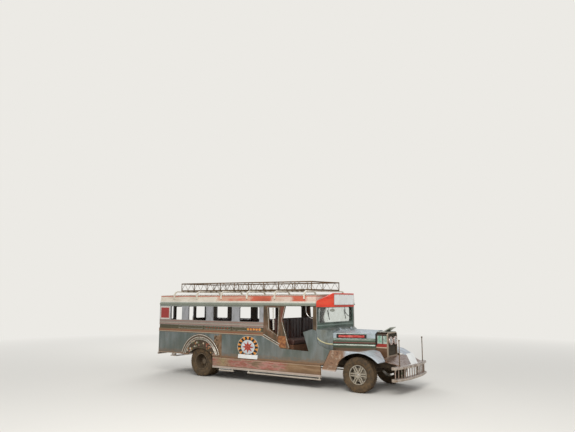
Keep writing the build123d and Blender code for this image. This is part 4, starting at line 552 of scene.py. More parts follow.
def core_fins(tree, place):
    """Fins 12 mm apart across the core: finer ones would not show."""
    across = add(tree, "ShaderNodeSeparateXYZ", {"Vector": place})["Y"]
    turns = add(tree, "ShaderNodeMath", {0: across, 1: 2 * pi / 0.012}, operation="MULTIPLY")[0]
    fins = add(tree, "ShaderNodeMath", {0: turns}, operation="SINE")[0]
    fins = add(tree, "ShaderNodeMapRange", {"Value": fins, "From Min": -0.2, "From Max": 0.2})["Result"]
    return add(tree, "ShaderNodeMix", {0: fins, 6: "15130f", 7: "4a453b"}, data_type="RGBA")[2]


weathered("finned_radiator_core", core_fins, (0.3, 0.6, 0.3, 1, 0.25), "radiator")
wheel_black = weathered(
    "moulded_black_plastic", "232120", (0, 0.45, 0.2, 1, 0.1), "steering_wheel", worn="5a5248",
)

# %% [markdown]
# Cast alloy wheels are silver-beige under road dust, and the rear steel wheels are dull and browner.
# Rubber is nearly black, but the dust makes it brown. Glass and lenses let light through.

# %% Wheels, glass and lenses
weathered(
    "cast_alloy", mottled(40, "35:9d9382 55:c4bdae 72:ac9d86", 6.6), (0.6, 0.38, 0.45, 0.8, 0.2),
    "front_wheel_left front_wheel_right",
)
wheel_steel = weathered(
    "dusty_wheel_steel", "75695a", (0.5, 0.5, 0.6, 0.8, 0.4), "rear_wheels_left rear_wheels_right",
)
rubber = weathered(
    "dusty_rubber", mottled(55, "30:292116 50:46351f 70:634b2c", 8.8, detail=6), (0, 0.8, 0.28, 0.9, 0),
    "front_tyre_left front_tyre_right rear_tyres_left rear_tyres_right", bump_mm=0.8,
)


def clear(name, code, dressed, roughness, flute_mm=0, transmission=1):
    """A see-through material, smeared with dust, with flutes of that pitch if it is a lamp lens."""
    material, tree, shader, place = blank(name)
    shader.inputs["Transmission Weight"].default_value = transmission
    shader.inputs["IOR"].default_value = 1.45
    smear = {"Value": cloud(tree, place, 150, detail=6, seed=2.7), "From Min": 0.3, "From Max": 0.9}
    smear = add(tree, "ShaderNodeMapRange", smear)["Result"]
    share = add(tree, "ShaderNodeMath", {0: smear, 1: 0.3}, operation="MULTIPLY")[0]
    tint = add(tree, "ShaderNodeMix", {0: share, 6: code, 7: "9b8f78"}, data_type="RGBA")[2]
    tree.links.new(tint, shader.inputs["Base Color"])
    film = {"Value": smear, "To Min": roughness, "To Max": roughness + 0.12}
    tree.links.new(add(tree, "ShaderNodeMapRange", film)["Result"], shader.inputs["Roughness"])
    if flute_mm:
        across = add(tree, "ShaderNodeSeparateXYZ", {"Vector": place})["Y"]
        turns = add(tree, "ShaderNodeMath", {0: across, 1: 2000 * pi / flute_mm}, operation="MULTIPLY")[0]
        flute = add(tree, "ShaderNodeMath", {0: turns}, operation="SINE")[0]
        relief = add(tree, "ShaderNodeBump", {"Strength": 0.8, "Distance": 0.002, "Height": flute})
        tree.links.new(relief["Normal"], shader.inputs["Normal"])
    dress(material, dressed)


clear("window_glass", "e4ebe8", "windshield_glass", 0.02)
clear("fluted_lamp_lens", "eef0ec", "headlamp_lenses", 0.05, flute_mm=9, transmission=0.5)
clear("red_lamp_lens", "a81a14", "tail_lamps", 0.15, flute_mm=6, transmission=0.3)
plate_enamel = weathered(
    "blank_plate_enamel", "f0f1ee", (0, 0.35, 0.2, 0.5, 0.12), "licence_plate", worn="9a9284",
)

# %% [markdown]
# Pieces are built from a few mesh makers. A sweep draws a section along a path, as for mouldings and
# tubes. A lathe turns a profile round an axis, as for tyres, knobs and rings. A plate cuts an outline
# from sheet, and a block joins eight corners. Each adds to one bmesh, so like parts become one piece.

# %% Mesh makers
BOX_FACES = ((0, 1, 5, 4), (1, 2, 6, 5), (2, 3, 7, 6), (3, 0, 4, 7), (4, 5, 6, 7), (3, 2, 1, 0))


def block(bm, corners):
    """A six-sided block from eight corners: four round one side, then the four over them."""
    verts = [bm.verts.new(corner) for corner in corners]
    for face in BOX_FACES:
        bm.faces.new([verts[k] for k in face])


def oval(half_a, half_b, count=48):
    """Points round an oval."""
    return [(half_a * cos(2 * pi * k / count), half_b * sin(2 * pi * k / count)) for k in range(count)]


def skin(bm, near, far):
    """Faces between two rings of points. A pole's ring is one point many times, and counts once a face."""
    count = len(near)
    for k in range(count):
        corners = (near[k], near[(k + 1) % count], far[(k + 1) % count], far[k])
        bm.faces.new([v for n, v in enumerate(corners) if v not in corners[:n]])


def sweep(bm, path, section, up, closed=False):
    """Draws a section of (across, up) points along a path. Both ends are closed unless the path is a loop."""
    path = [Vector(p) for p in path]
    last = len(path) - 1
    rings = []
    for i, point in enumerate(path):
        before = path[i - 1] if closed or i else point
        after = path[(i + 1) % len(path)] if closed or i < last else point
        along = (after - before).normalized()
        side = along.cross(Vector(up)).normalized()
        top = side.cross(along)
        rings.append([bm.verts.new(point + side * a + top * b) for a, b in section])
    for i in range(len(rings) if closed else last):
        skin(bm, rings[i], rings[(i + 1) % len(rings)])
    if not closed:
        bm.faces.new(rings[0])
        bm.faces.new(reversed(rings[-1]))


def tube(bm, path, radius, up, sides=10, closed=False):
    """A round rod along a path."""
    sweep(bm, path, oval(radius, radius, sides), up, closed)


def lathe(bm, profile, centre, axis, steps=32, closed=False):
    """Turns (radius, along) points round an axis. A radius of 0 closes a pole, and closed joins last to first."""
    axis = Vector(axis).normalized()
    first = axis.orthogonal().normalized()
    second = axis.cross(first)
    angles = [2 * pi * k / steps for k in range(steps)]
    rows = []
    for radius, along in profile:
        base = Vector(centre) + axis * along
        if radius == 0:
            rows.append([bm.verts.new(base)] * steps)
        else:
            rows.append([bm.verts.new(base + (first * cos(a) + second * sin(a)) * radius) for a in angles])
    for i in range(len(rows) if closed else len(rows) - 1):
        skin(bm, rows[i], rows[(i + 1) % len(rows)])


def plate(bm, outline, origin, right, up, thickness, bevel=0):
    """Cuts an outline of (right, up) points from sheet that grows along right x up."""
    right, up = Vector(right), Vector(up)
    out = right.cross(up).normalized()
    middle = sum((Vector(p) for p in outline), Vector((0, 0))) / len(outline)
    levels = ((0, 0), (thickness - bevel, 0), (thickness, bevel)) if bevel else ((0, 0), (thickness, 0))
    rows = []
    for lift, inset in levels:
        reach = [Vector(p) - middle for p in outline]
        points = [middle + r.normalized() * (r.length - inset) for r in reach]
        rows.append([bm.verts.new(Vector(origin) + right * p.x + up * p.y + out * lift) for p in points])
    for near, far in zip(rows, rows[1:]):
        skin(bm, near, far)
    bm.faces.new(rows[-1])
    bm.faces.new(reversed(rows[0]))


def piece(name, bm, material, body="vehicle", mirror=False, sharp=35, replaces=()):
    """Makes a bmesh a piece that rides on a body. Mirror adds its twin on the other side."""
    if mirror:
        twin = bmesh.ops.duplicate(bm, geom=bm.verts[:] + bm.edges[:] + bm.faces[:])
        bmesh.ops.scale(bm, vec=(1, -1, 1), verts=[v for v in twin["geom"] if isinstance(v, bmesh.types.BMVert)])
    bmesh.ops.remove_doubles(bm, verts=bm.verts[:], dist=1e-5)
    bmesh.ops.recalc_face_normals(bm, faces=bm.faces[:])
    mesh = bpy.data.meshes.new(name)
    bm.to_mesh(mesh)
    bm.free()
    mesh.shade_smooth()
    mesh.set_sharp_from_angle(angle=radians(sharp))
    mesh.materials.append(material)
    made = placed(name, mesh)
    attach(made, body)
    if replaces:
        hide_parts(*replaces)
    print(name, len(mesh.polygons), "faces on", body)
    return made


print("mesh makers ready")

# %% [markdown]
# What repeats is made once and copied by Geometry Nodes. One tree copies a shape round an axis, for
# tread, nuts and rays; the other copies it along a step, for rivets and links. Both end in Realize
# Instances and Set Material, because the export keeps only real faces.

# %% Trees that repeat a shape


def copying_tree(name, round_axis):
    """A tree with the inputs Count, Step, Uneven, Seed and Material that copies the shape it is put on."""
    tree = bpy.data.node_groups.new(name, "GeometryNodeTree")
    for socket in ("Geometry:Geometry", "Count:Int", "Step:Vector", "Uneven:Float", "Seed:Int", "Material:Material"):
        label, kind = socket.split(":")
        tree.interface.new_socket(label, in_out="INPUT", socket_type="NodeSocket" + kind)
    tree.interface.new_socket("Geometry", in_out="OUTPUT", socket_type="NodeSocketGeometry")
    given = add(tree, "NodeGroupInput")
    offset = (0, 0, 0) if round_axis else given["Step"]
    line = add(tree, "GeometryNodeMeshLine", {"Count": given["Count"], "Offset": offset})["Mesh"]
    smallest = add(tree, "ShaderNodeMath", {0: 1, 1: given["Uneven"]}, operation="SUBTRACT")[0]
    sizes = {2: smallest, 3: 1, "Seed": given["Seed"]}
    size = add(tree, "FunctionNodeRandomValue", sizes, data_type="FLOAT")[1]
    inputs = {"Points": line, "Instance": given["Geometry"], "Scale": size}
    if round_axis:
        index = add(tree, "GeometryNodeInputIndex")["Index"]
        turn = add(tree, "ShaderNodeMath", {0: index, 1: 2 * pi}, operation="MULTIPLY")[0]
        turn = add(tree, "ShaderNodeMath", {0: turn, 1: given["Count"]}, operation="DIVIDE")[0]
        turned = {0: given["Step"], "Scale": turn}
        inputs["Rotation"] = add(tree, "ShaderNodeVectorMath", turned, operation="SCALE")["Vector"]
    copies = add(tree, "GeometryNodeInstanceOnPoints", inputs)["Instances"]
    real = add(tree, "GeometryNodeRealizeInstances", {"Geometry": copies})["Geometry"]
    done = add(tree, "GeometryNodeSetMaterial", {"Geometry": real, "Material": given["Material"]})["Geometry"]
    add(tree, "NodeGroupOutput", {"Geometry": done})
    return tree


ring_of = copying_tree("copies_round_an_axis", True)
row_of = copying_tree("copies_along_a_row", False)


def worked(holder):
    """The plain mesh of an object with its modifiers worked in."""
    return bpy.data.meshes.new_from_object(holder.evaluated_get(bpy.context.evaluated_depsgraph_get()))


def repeated(bm, unit, tree, material, count, step, place=(0, 0, 0), uneven=0.0, seed=1):
    """Adds copies of a unit bmesh, moved to a place, to bm. For a ring, the step is the axis to turn round."""
    mesh = bpy.data.meshes.new("unit")
    unit.to_mesh(mesh)
    unit.free()
    holder = placed("unit", mesh)
    modifier = holder.modifiers.new("copies", "NODES")
    modifier.node_group = tree
    values = {"Count": count, "Step": step, "Uneven": uneven, "Seed": seed, "Material": material}
    for socket in tree.interface.items_tree:
        if socket.in_out == "INPUT" and socket.name in values:
            modifier[socket.identifier] = values[socket.name]
    made = worked(holder)
    made.transform(Matrix.Translation(place))
    bm.from_mesh(made)
    bpy.data.objects.remove(holder)
    for used in (mesh, made):
        bpy.data.meshes.remove(used)


print("trees ready:", ring_of.name, row_of.name)

# %% [markdown]
# A tyre is a carcass of revolution with tread blocks moulded on it. The carcass is turned on a lathe,
# with a rounded sidewall and a raised rib. The blocks of one pitch are modelled once, in four staggered
# columns, and the ring tree turns them round the axle. The sidewall is plain.

# %% Tyres
PITCHES = 52
GROOVE_RADIUS = tyre_radius - 0.008
# radius, share of the width from the middle
SIDEWALL = (
    (0.192, 0.36), (0.206, 0.41), (0.232, 0.47), (0.262, 0.496), (0.27, 0.5), (0.276, 0.496), (0.305, 0.48),
    (0.327, 0.445), (GROOVE_RADIUS - 0.003, 0.4), (GROOVE_RADIUS, 0.37),
)
# from and to share of the width, and the stagger in pitches
COLUMNS = ((-0.385, -0.235, 0), (-0.195, -0.025, 0.5), (0.025, 0.195, 0.25), (0.235, 0.385, 0.75))
# depth below the groove, share of the width from the middle
SHOULDER_LUG = ((0.01, 0.44), (0.034, 0.478), (0.04, 0.47), (0.016, 0.43))


def tyre(bm, centre, width):
    """A tyre with its axle along Y."""
    profile = [(r, -w * width) for r, w in SIDEWALL] + [(r, w * width) for r, w in reversed(SIDEWALL)]
    lathe(bm, profile, centre, (0, 1, 0), 72, closed=True)
    blocks = bmesh.new()
    turn = 2 * pi / PITCHES
    for low, high, stagger in COLUMNS:
        corners = []
        for radius, draft in ((GROOVE_RADIUS - 0.002, 0), (tyre_radius, 0.05)):
            for share, y in ((0.08 + draft, low), (0.68 - draft, low), (0.86 - draft, high), (0.26 + draft, high)):
                angle = (stagger - 0.5 + share) * turn
                corners.append((radius * sin(angle), y * width, radius * cos(angle)))
        block(blocks, corners)
    for side in (-1, 1):
        corners = []
        for angle in (-0.2 * turn, 0.2 * turn):
            for depth, share in SHOULDER_LUG:
                radius = GROOVE_RADIUS - depth
                corners.append((radius * sin(angle), side * share * width, radius * cos(angle)))
        block(blocks, corners)
    repeated(bm, blocks, ring_of, rubber, PITCHES, (0, 1, 0), centre)


twin_width = 0.19
for side in ("left", "right"):
    low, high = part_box(f"front_tyre_{side}")
    bm = bmesh.new()
    tyre(bm, (front_axle_x, (low.y + high.y) / 2, tyre_radius), high.y - low.y)
    piece(f"treaded_front_tyre_{side}", bm, rubber, f"front_wheel_spin_{side}", replaces=(f"front_tyre_{side}",))
    low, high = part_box(f"rear_tyres_{side}")
    bm = bmesh.new()
    for y in (low.y + twin_width / 2, high.y - twin_width / 2):
        tyre(bm, (rear_axle_x, y, tyre_radius), twin_width)
    piece(f"treaded_rear_tyres_{side}", bm, rubber, f"rear_wheel_pair_{side}", replaces=(f"rear_tyres_{side}",))

# %% [markdown]
# Wheels are held by domed nuts round a cap. The nut is a small lathe form, and the ring tree places it
# round the hub. Front wheels have six, the rear steel wheels six larger ones on their deep disc.

# %% Wheel nuts, caps and valves
DOME = ((0, 0), (1, 0), (1, 0.35), (0.75, 0.75), (0.35, 0.95), (0, 1))


def dome(radius, height, at=(0, 0, 0), axis=(0, 0, 1), steps=12):
    """A unit bmesh: a low dome on a short shank."""
    unit = bmesh.new()
    lathe(unit, [(r * radius, z * height) for r, z in DOME], at, axis, steps)
    return unit


# distance of the hubs' outer faces from the middle of the vehicle
FRONT_HUB, REAR_HUB = 0.838, 0.662
CAP = ((0, 0.02), (0.014, 0.018), (0.026, 0.012), (0.034, 0.004), (0.036, -0.004), (0, -0.004))
for side, sign in (("left", 1), ("right", -1)):
    bm = bmesh.new()
    hub = Vector((front_axle_x, FRONT_HUB * sign, tyre_radius))
    repeated(bm, dome(0.01, 0.014, (0, 0, 0.052), (0, sign, 0)), ring_of, bright_chrome, 6, (0, 1, 0), hub)
    lathe(bm, CAP, hub, (0, sign, 0), 28)
    valve = [hub + Vector((0.15, -sign * y, 0.06)) for y in (0.03, 0.015, 0)]
    tube(bm, valve, 0.004, (1, 0, 0))
    piece(f"front_wheel_nuts_{side}", bm, bright_chrome, f"front_wheel_spin_{side}")
    bm = bmesh.new()
    hub = Vector((rear_axle_x, REAR_HUB * sign, tyre_radius))
    repeated(bm, dome(0.014, 0.022, (0, 0, 0.098), (0, sign, 0)), ring_of, wheel_steel, 6, (0, 1, 0), hub)
    piece(f"rear_wheel_nuts_{side}", bm, wheel_steel, f"rear_wheel_pair_{side}")

# %% [markdown]
# Bright mouldings cover the joints of the sheets and give the body its drawn look. Each is a half-round
# section swept along a path on the outer face. Doubled lines follow the slope behind the door.

# %% Bright mouldings of the sides
mint_trim = weathered(
    "mint_enamel_moulding", mottled(60, "38:9fb3a5 55:d0d6ca 70:b9b8a8", 1.9, (3, 1, 1)),
    (0.3, 0.3, 0.2, 0.9, 0.2),
)
pale_trim = weathered(
    "pale_steel_moulding", mottled(80, "36:b3aa98 54:d5cfc2 70:c0a890", 3.9), (0.5, 0.3, 0.25, 0.9, 0.3),
)
ARCH_STEPS = 39
HALF_ROUND = ((-1, 0), (-0.8, 0.5), (-0.3, 0.9), (0.3, 0.9), (0.8, 0.5), (1, 0))


def half_round(width, proud):
    """Section of a half-round strip."""
    return [(a * width / 2, b * proud) for a, b in HALF_ROUND]


def moulding(bm, points, width, proud, side, closed=False):
    """A half-round strip on the right-hand side, along (ahead, height) points."""
    sweep(bm, [(ahead(x), -side, z) for x, z in points], half_round(width, proud), (0, -1, 0), closed)


def arch(radius, start, end):
    """(ahead, height) points round the rear axle between two angles in degrees."""
    angles = [radians(start + (end - start) * k / ARCH_STEPS) for k in range(ARCH_STEPS + 1)]
    return [(rear_axle + radius * cos(a), tyre_radius + radius * sin(a)) for a in angles]


rear_axle = rear_axle_x - front_axle_x
sheet_side = body_half + 0.0005
trim_side = body_half + 0.0085
bm = bmesh.new()
moulding(bm, ((-2.345, 1.025), (-1.905, 0.838)), 0.02, 0.008, sheet_side)
moulding(bm, ((-2.317, 1.066), (-1.877, 0.872)), 0.02, 0.008, trim_side)
door_edge = (
    (-1.74, 1.69), (-1.778, 1.56), (-1.818, 1.44), (-1.826, 1.395), (-1.812, 1.33), (-1.72, 1.05), (-1.636, 0.8),
)
moulding(bm, door_edge, 0.012, 0.006, sheet_side)
narrow_window = ((-2.212, 1.672), (-2.177, 1.18), (-1.931, 1.04), (-1.903, 1.672))
moulding(bm, narrow_window, 0.014, 0.006, sheet_side, closed=True)
moulding(bm, ((-5.7, 0.507), (-4.9, 0.507)), 0.012, 0.005, sheet_side)
for radius in (0.525, 0.545):
    moulding(bm, arch(radius, 19, 161), 0.014, 0.008, sheet_side)
for radius in (0.577, 0.637):
    moulding(bm, arch(radius, 17, 163), 0.02, 0.005, trim_side)
piece("side_mouldings", bm, pale_trim, mirror=True)

# %% [markdown]
# Beside the windshield a bright strip runs down the post, then a yellowed moulding curves from its foot
# over the cowl and lines up with the mint moulding along the hood side. A foot plate closes the cowl
# down to the fender, so that the engine bay can't be seen from outside.

# %% Mouldings of the cowl and hood sides


def mirrored(name, material, maker, *shape, body="vehicle", **settings):
    """A piece from one call of a maker, with its twin on the other side."""
    bm = bmesh.new()
    maker(bm, *shape, **settings)
    piece(name, bm, material, body, mirror=True)


def cowl_half(x):
    """Half width of the cowl or hood at a distance ahead of the front axle."""
    stations = ((-0.955, 0.87), (-0.73, 0.555), (0.125, 0.268))
    for (x0, half0), (x1, half1) in zip(stations, stations[1:]):
        if x <= x1:
            return half0 + (half1 - half0) * (x - x0) / (x1 - x0)
    return stations[-1][1]


def on_hood(bm, points, width, proud):
    """A half-round strip that follows the tapered side at (ahead, height) points."""
    path = [(ahead(x), -cowl_half(x) - 0.0005, z) for x, z in points]
    sweep(bm, path, half_round(width, proud), up=(0.3, -1, 0))


hood_run = ((-0.722, 0.89), (-0.4, 0.89), (0, 0.89), (0.118, 0.89))
mirrored("hood_side_mouldings", mint_trim, on_hood, hood_run, 0.03, 0.01)
yellow_trim = weathered(
    "yellowed_enamel_moulding", mottled(60, "40:d5c88f 60:e6dfb8", 2.2), (0, 0.35, 0.1, 0.9, 0.15),
)
cowl_run = ((-0.95, 1.06), (-0.925, 1.005), (-0.885, 0.96), (-0.835, 0.925), (-0.78, 0.905), (-0.735, 0.9))
mirrored("cowl_mouldings", yellow_trim, on_hood, cowl_run, 0.026, 0.009)
skirt_run = [Vector((ahead(x), -cowl_half(x) + 0.004, 0)) for x in (-0.95, -0.732)]
foot_run = (skirt_run[1] - skirt_run[0]).normalized()
reach = (skirt_run[1] - skirt_run[0]).length
foot = ((0, 0.6), (reach, 0.6), (reach, 0.8575), (0, 0.8575))
mirrored("cowl_foot_plates", cowl_steel, plate, foot, skirt_run[0], foot_run, (0, 0, 1), 0.003)
post = [(ahead(-0.9545), -0.846, z) for z in (1.68, 1.3, 1.17)]
mirrored("screen_post_strips", bright_chrome, sweep, post, half_round(0.02, 0.006), (1, 0, 0))
red_line = weathered("dark_red_enamel", mottled(50, "40:6f2522 60:93403a", 1.4), (0, 0.35, 0.2, 0.9, 0.2))
line_run = ((-0.715, 0.941), (-0.3, 0.941), (0.115, 0.941))
mirrored("hood_red_line", red_line, on_hood, line_run, 0.01, 0.005, body="hood_body")

# %% [markdown]
# A blank plate sits on each side of the hood: a plain dark plate with a pale raised edge and a red
# enamel inset. The plate follows the tapered side of the hood.

# %% Blank nameplates
NAME_LOW, NAME_HIGH = 1.022, 1.122
name_black = weathered("black_enamel_plate", "26231f", (0, 0.3, 0.15, 0.9, 0.15))
plate_red = weathered(
    "red_enamel_inset", mottled(40, "38:b8322c 56:d4574e 70:e0a59a", 8.1, (3, 1, 1)),
    (0, 0.3, 0.1, 0.9, 0.2),
)
name_rear = Vector((ahead(-0.655), -cowl_half(-0.655), 0))
name_front = Vector((ahead(-0.05), -cowl_half(-0.05), 0))
name_length = (name_front - name_rear).length
name_run = (name_front - name_rear).normalized()
name_out = name_run.cross(Vector((0, 0, 1)))


def name_plate(name, inset, low, high, lift, thickness, material):
    """One layer of the nameplate, inset from its ends, between two heights."""
    outline = ((inset, low), (name_length - inset, low), (name_length - inset, high), (inset, high))
    origin = name_rear + name_out * lift
    mirrored(name, material, plate, outline, origin, name_run, (0, 0, 1), thickness, body="hood_body")


name_plate("nameplates", 0, NAME_LOW, NAME_HIGH, 0.0005, 0.006, name_black)
name_plate("nameplate_insets", 0.045, 1.05, 1.096, 0.006, 0.003, plate_red)
edge = ((0, NAME_LOW), (name_length, NAME_LOW), (name_length, NAME_HIGH), (0, NAME_HIGH))
edge_path = [name_rear + name_run * a + name_out * 0.0065 + Vector((0, 0, z)) for a, z in edge]
mirrored("nameplate_edges", mint_trim, tube, edge_path, 0.0045, name_out, 8, True, body="hood_body")

# %% [markdown]
# On the side sheet sits an oval medallion with a plain sunburst, a common ornament: rays of enamel round
# a pale disc with one small eight-point star. Rays and points are one tile each, copied round the
# centre by the ring tree, then pressed into an oval. The points meet edge to edge and don't overlap.

# %% Sunburst medallion and blank banner
ray_orange = weathered(
    "orange_enamel_rays", mottled(40, "38:cd7a2f 56:e39a40 70:dcae5e", 1.6), (0, 0.3, 0.15, 0.9, 0.15),
)
pale_disc = weathered(
    "pale_enamel_disc", mottled(60, "38:b9c1c4 56:d7dcdb 70:c3c0b6", 2.6), (0, 0.3, 0.2, 0.9, 0.15),
)
star_red = weathered("red_enamel_star", "b8452f", (0, 0.3, 0.1, 0.9, 0.1))
medallion = Vector((ahead(-2.765), -body_half, 0.765))
disc_a, disc_b = 0.3, 0.24


def tile(corners, low, high):
    """A unit bmesh: a flat four-cornered tile in a disc of radius 1 that faces -Y, between two lifts off the sheet."""
    unit = bmesh.new()
    block(unit, [(a, -y, b) for y in (low, high) for a, b in corners])
    return unit


def pressed(unit, count, material):
    """Copies a unit round Y, squeezes the round into the oval and moves it to the side sheet."""
    bm = bmesh.new()
    repeated(bm, unit, ring_of, material, count, (0, 1, 0))
    bmesh.ops.scale(bm, vec=(disc_a, 1, disc_b), verts=bm.verts[:])
    bmesh.ops.translate(bm, vec=medallion, verts=bm.verts[:])
    return bm


ray_corners = ((-0.02, 0.66), (0.02, 0.66), (0.135, 0.97), (-0.135, 0.97))
point_corners = ((0, 0.02), (0.096, 0.24), (0, 0.57), (-0.096, 0.24))
upright = ((1, 0, 0), (0, 0, 1))
mirrored("medallion_ground", name_black, plate, oval(disc_a, disc_b), medallion, *upright, 0.004)
piece("medallion_rays", pressed(tile(ray_corners, 0.002, 0.0065), 14, ray_orange), ray_orange, mirror=True)
disc = oval(disc_a * 0.66, disc_b * 0.66)
mirrored("medallion_disc", pale_disc, plate, disc, medallion, *upright, 0.008, bevel=0.003)
bm = pressed(tile(point_corners, 0.006, 0.011), 8, star_red)
boss = oval(disc_a * 0.07, disc_b * 0.07)
plate(bm, boss, medallion - Vector((0, 0.0115, 0)), *upright, 0.003, bevel=0.001)
piece("medallion_star", bm, star_red, mirror=True)
banner = ((-0.285, -0.257), (0.27, -0.257), (0.285, -0.168), (-0.275, -0.168))
mirrored("blank_banners", plate_enamel, plate, banner, medallion, *upright, 0.012, bevel=0.003)
rim = [medallion + Vector((a, -0.004, b)) for a, b in oval(disc_a, disc_b, 64)]
mirrored("medallion_rims", pale_trim, tube, rim, 0.007, (0, -1, 0), 8, closed=True)

# %% [markdown]
# The dark channel under the windows holds framed panels, filled with rows of small enamelled diamonds,
# a folk ornament. The diamond is one unit that the row tree copies along the channel.

# %% Ornaments of the channel
channel_side = 0.8885
bm = bmesh.new()
for start, end in ((-3.235, -2.395), (-4.12, -3.3), (-5, -4.19)):
    moulding(bm, ((start, 1.13), (end, 1.13), (end, 1.196), (start, 1.196)), 0.01, 0.006, channel_side, closed=True)
piece("channel_frames", bm, pale_trim, mirror=True)


def diamond(half_a, half_b, proud):
    """A unit bmesh: a low pyramid on a diamond that faces -Y."""
    unit = bmesh.new()
    rim = [unit.verts.new(p) for p in ((half_a, 0, 0), (0, 0, half_b), (-half_a, 0, 0), (0, 0, -half_b))]
    tip, foot = unit.verts.new((0, -proud, 0)), unit.verts.new((0, 0.0005, 0))
    for k in range(4):
        unit.faces.new((rim[k], rim[(k + 1) % 4], tip))
        unit.faces.new((rim[(k + 1) % 4], rim[k], foot))
    return unit


# half length, half height, how proud, count, step, first place ahead of the axle, height, unevenness
LARGE = ((0.042, 0.034, 0.01, 5, 0.084, -2.78, 1.163, 0.1),)
SMALL = (
    (0.022, 0.014, 0.008, 4, 0.084, -2.738, 1.146, 0.15),
    (0.022, 0.014, 0.008, 4, 0.084, -2.738, 1.18, 0.15),
    (0.02, 0.016, 0.006, 8, 0.095, -4.06, 1.163, 0.15),
)
for name, material, rows in (("channel_diamonds", ray_orange, LARGE), ("channel_beads", star_red, SMALL)):
    bm = bmesh.new()
    for half_a, half_b, proud, count, step, start, z, uneven in rows:
        place = (ahead(start), -channel_side, z)
        repeated(bm, diamond(half_a, half_b, proud), row_of, material, count, (step, 0, 0), place, uneven)
    piece(name, bm, material, mirror=True)

# %% [markdown]
# In the narrow window beside the door hangs a strand of white shell links. Each link is a small turned
# bead, and the row tree hangs them one under the other.

# %% Hanging strand in the narrow window
STRAND_SIDE = 0.878
shell_white = weathered(
    "white_shell_beads", mottled(20, "40:cfcabd 60:eceae2", 1.2), (0, 0.35, 0.1, 0.9, 0),
)
bm = bmesh.new()
bead = bmesh.new()
bead_profile = ((0, -0.022), (0.01, -0.02), (0.024, -0.004), (0.024, 0.004), (0.01, 0.02), (0, 0.022))
lathe(bead, bead_profile, (0, 0, 0), (0, 0, 1), 12)
repeated(bm, bead, row_of, shell_white, 11, (0.002, 0, -0.0445), (ahead(-2.08), -STRAND_SIDE, 1.632), 0.12)
cord = [(ahead(x), -STRAND_SIDE, z) for x, z in ((-2.08, 1.664), (-2.07, 1.4), (-2.058, 1.168))]
tube(bm, cord, 0.002, (0, -1, 0), 6)
piece("shell_strands", bm, shell_white, mirror=True)

# %% [markdown]
# The destination board has a blank white panel: an enamelled sheet with a bevelled edge, held by screws,
# inside a thin bright frame.

# %% Blank panel of the destination board
board_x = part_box("destination_board")[1].x
panel = ((-0.455, 1.728), (0.455, 1.728), (0.455, 1.95), (-0.455, 1.95))
bm = bmesh.new()
plate(bm, panel, (board_x, 0, 0), (0, 1, 0), (0, 0, 1), 0.006, bevel=0.002)
piece("destination_panel", bm, plate_enamel)
bm = bmesh.new()
tube(bm, [(board_x + 0.004, y, z) for y, z in panel], 0.005, (1, 0, 0), 8, closed=True)
for z in (1.742, 1.936):
    screw = dome(0.007, 0.005, axis=(1, 0, 0), steps=8)
    repeated(bm, screw, row_of, bright_chrome, 5, (0, 0.21, 0), (board_x + 0.006, -0.42, z))
piece("destination_panel_frame", bm, bright_chrome)

# %% [markdown]
# Sheets are riveted to the tubes inside. Rows of domed rivets run along every joint of the side, the
# window frame, the gutter and the fender. One low dome is copied along each row, slightly uneven.
# The rivets take the paint of the sheet they hold, because they were painted over with it.

# %% Rivets of the body
# first place ahead of the axle, height, side, step along, step up, count
SHEET, GUTTER = 0.9003, 0.9153
POST_EDGES = (-5.34, -4.86, -4.72, -4.04, -3.9, -3.22, -3.075, -2.41)
RIVET_ROWS = {
    "side_rivets": (
        stainless,
        (-5.66, 1.012, SHEET, 0.08, 0, 42),
        (-5.66, 0.56, SHEET, 0.08, 0, 10),
        (-3.52, 0.522, SHEET, 0.08, 0, 33),
    ),
    "window_rivets": (
        window_enamel,
        (-5.66, 1.69, SHEET, 0.08, 0, 43),
        (-5.66, 1.212, SHEET, 0.08, 0, 42),
        *((x, 1.352, SHEET, 0, 0.075, 5) for x in POST_EDGES),
    ),
    "gutter_rivets": (roof_enamel, (-5.66, 1.724, GUTTER, 0.1, 0, 47)),
    "fender_rivets": (fender_enamel, (-0.585, 0.78, SHEET, 0.07, 0, 9)),
}
for name, (material, *rows) in RIVET_ROWS.items():
    bm = bmesh.new()
    for start, z, side, step, rise, count in rows:
        unit = dome(0.0055, 0.0035, axis=(0, -1, 0), steps=8)
        repeated(bm, unit, row_of, material, count, (step, 0, rise), (ahead(start), -side, z), 0.15, count)
    piece(name, bm, material, mirror=True)

# %% [markdown]
# The benches and the front seat are foam under vinyl, sewn in sections. A section swells like a pillow
# between its seams, so it is simulated: a slightly smaller block is remeshed, blown up by cloth
# pressure without gravity, and held within a cap. The channels are pressed in afterwards.
# One section of each size is simulated and copied along the seat, because the real ones are alike.

# %% Padded sections
VOXEL, PRESSURE, SWELL_FRAMES = 0.011, 4, 20
CHANNEL_DEPTH, CHANNEL_WIDTH = 0.012, 0.01
vinyl = weathered(
    "padded_vinyl", mottled(90, "36:37201a 54:4a2a1e 70:41271f", 4.6), (0, 0.38, 0.25, 0.8, 0.1),
    "bench_cushions bench_backs front_seat front_backrest", worn="8a6b55", bump_mm=0.5, grain_mm=3, sheen=0.1,
)


def applied(holder):
    """The mesh of an object with its modifiers worked in, and the object without them."""
    mesh = worked(holder)
    holder.modifiers.clear()
    return mesh


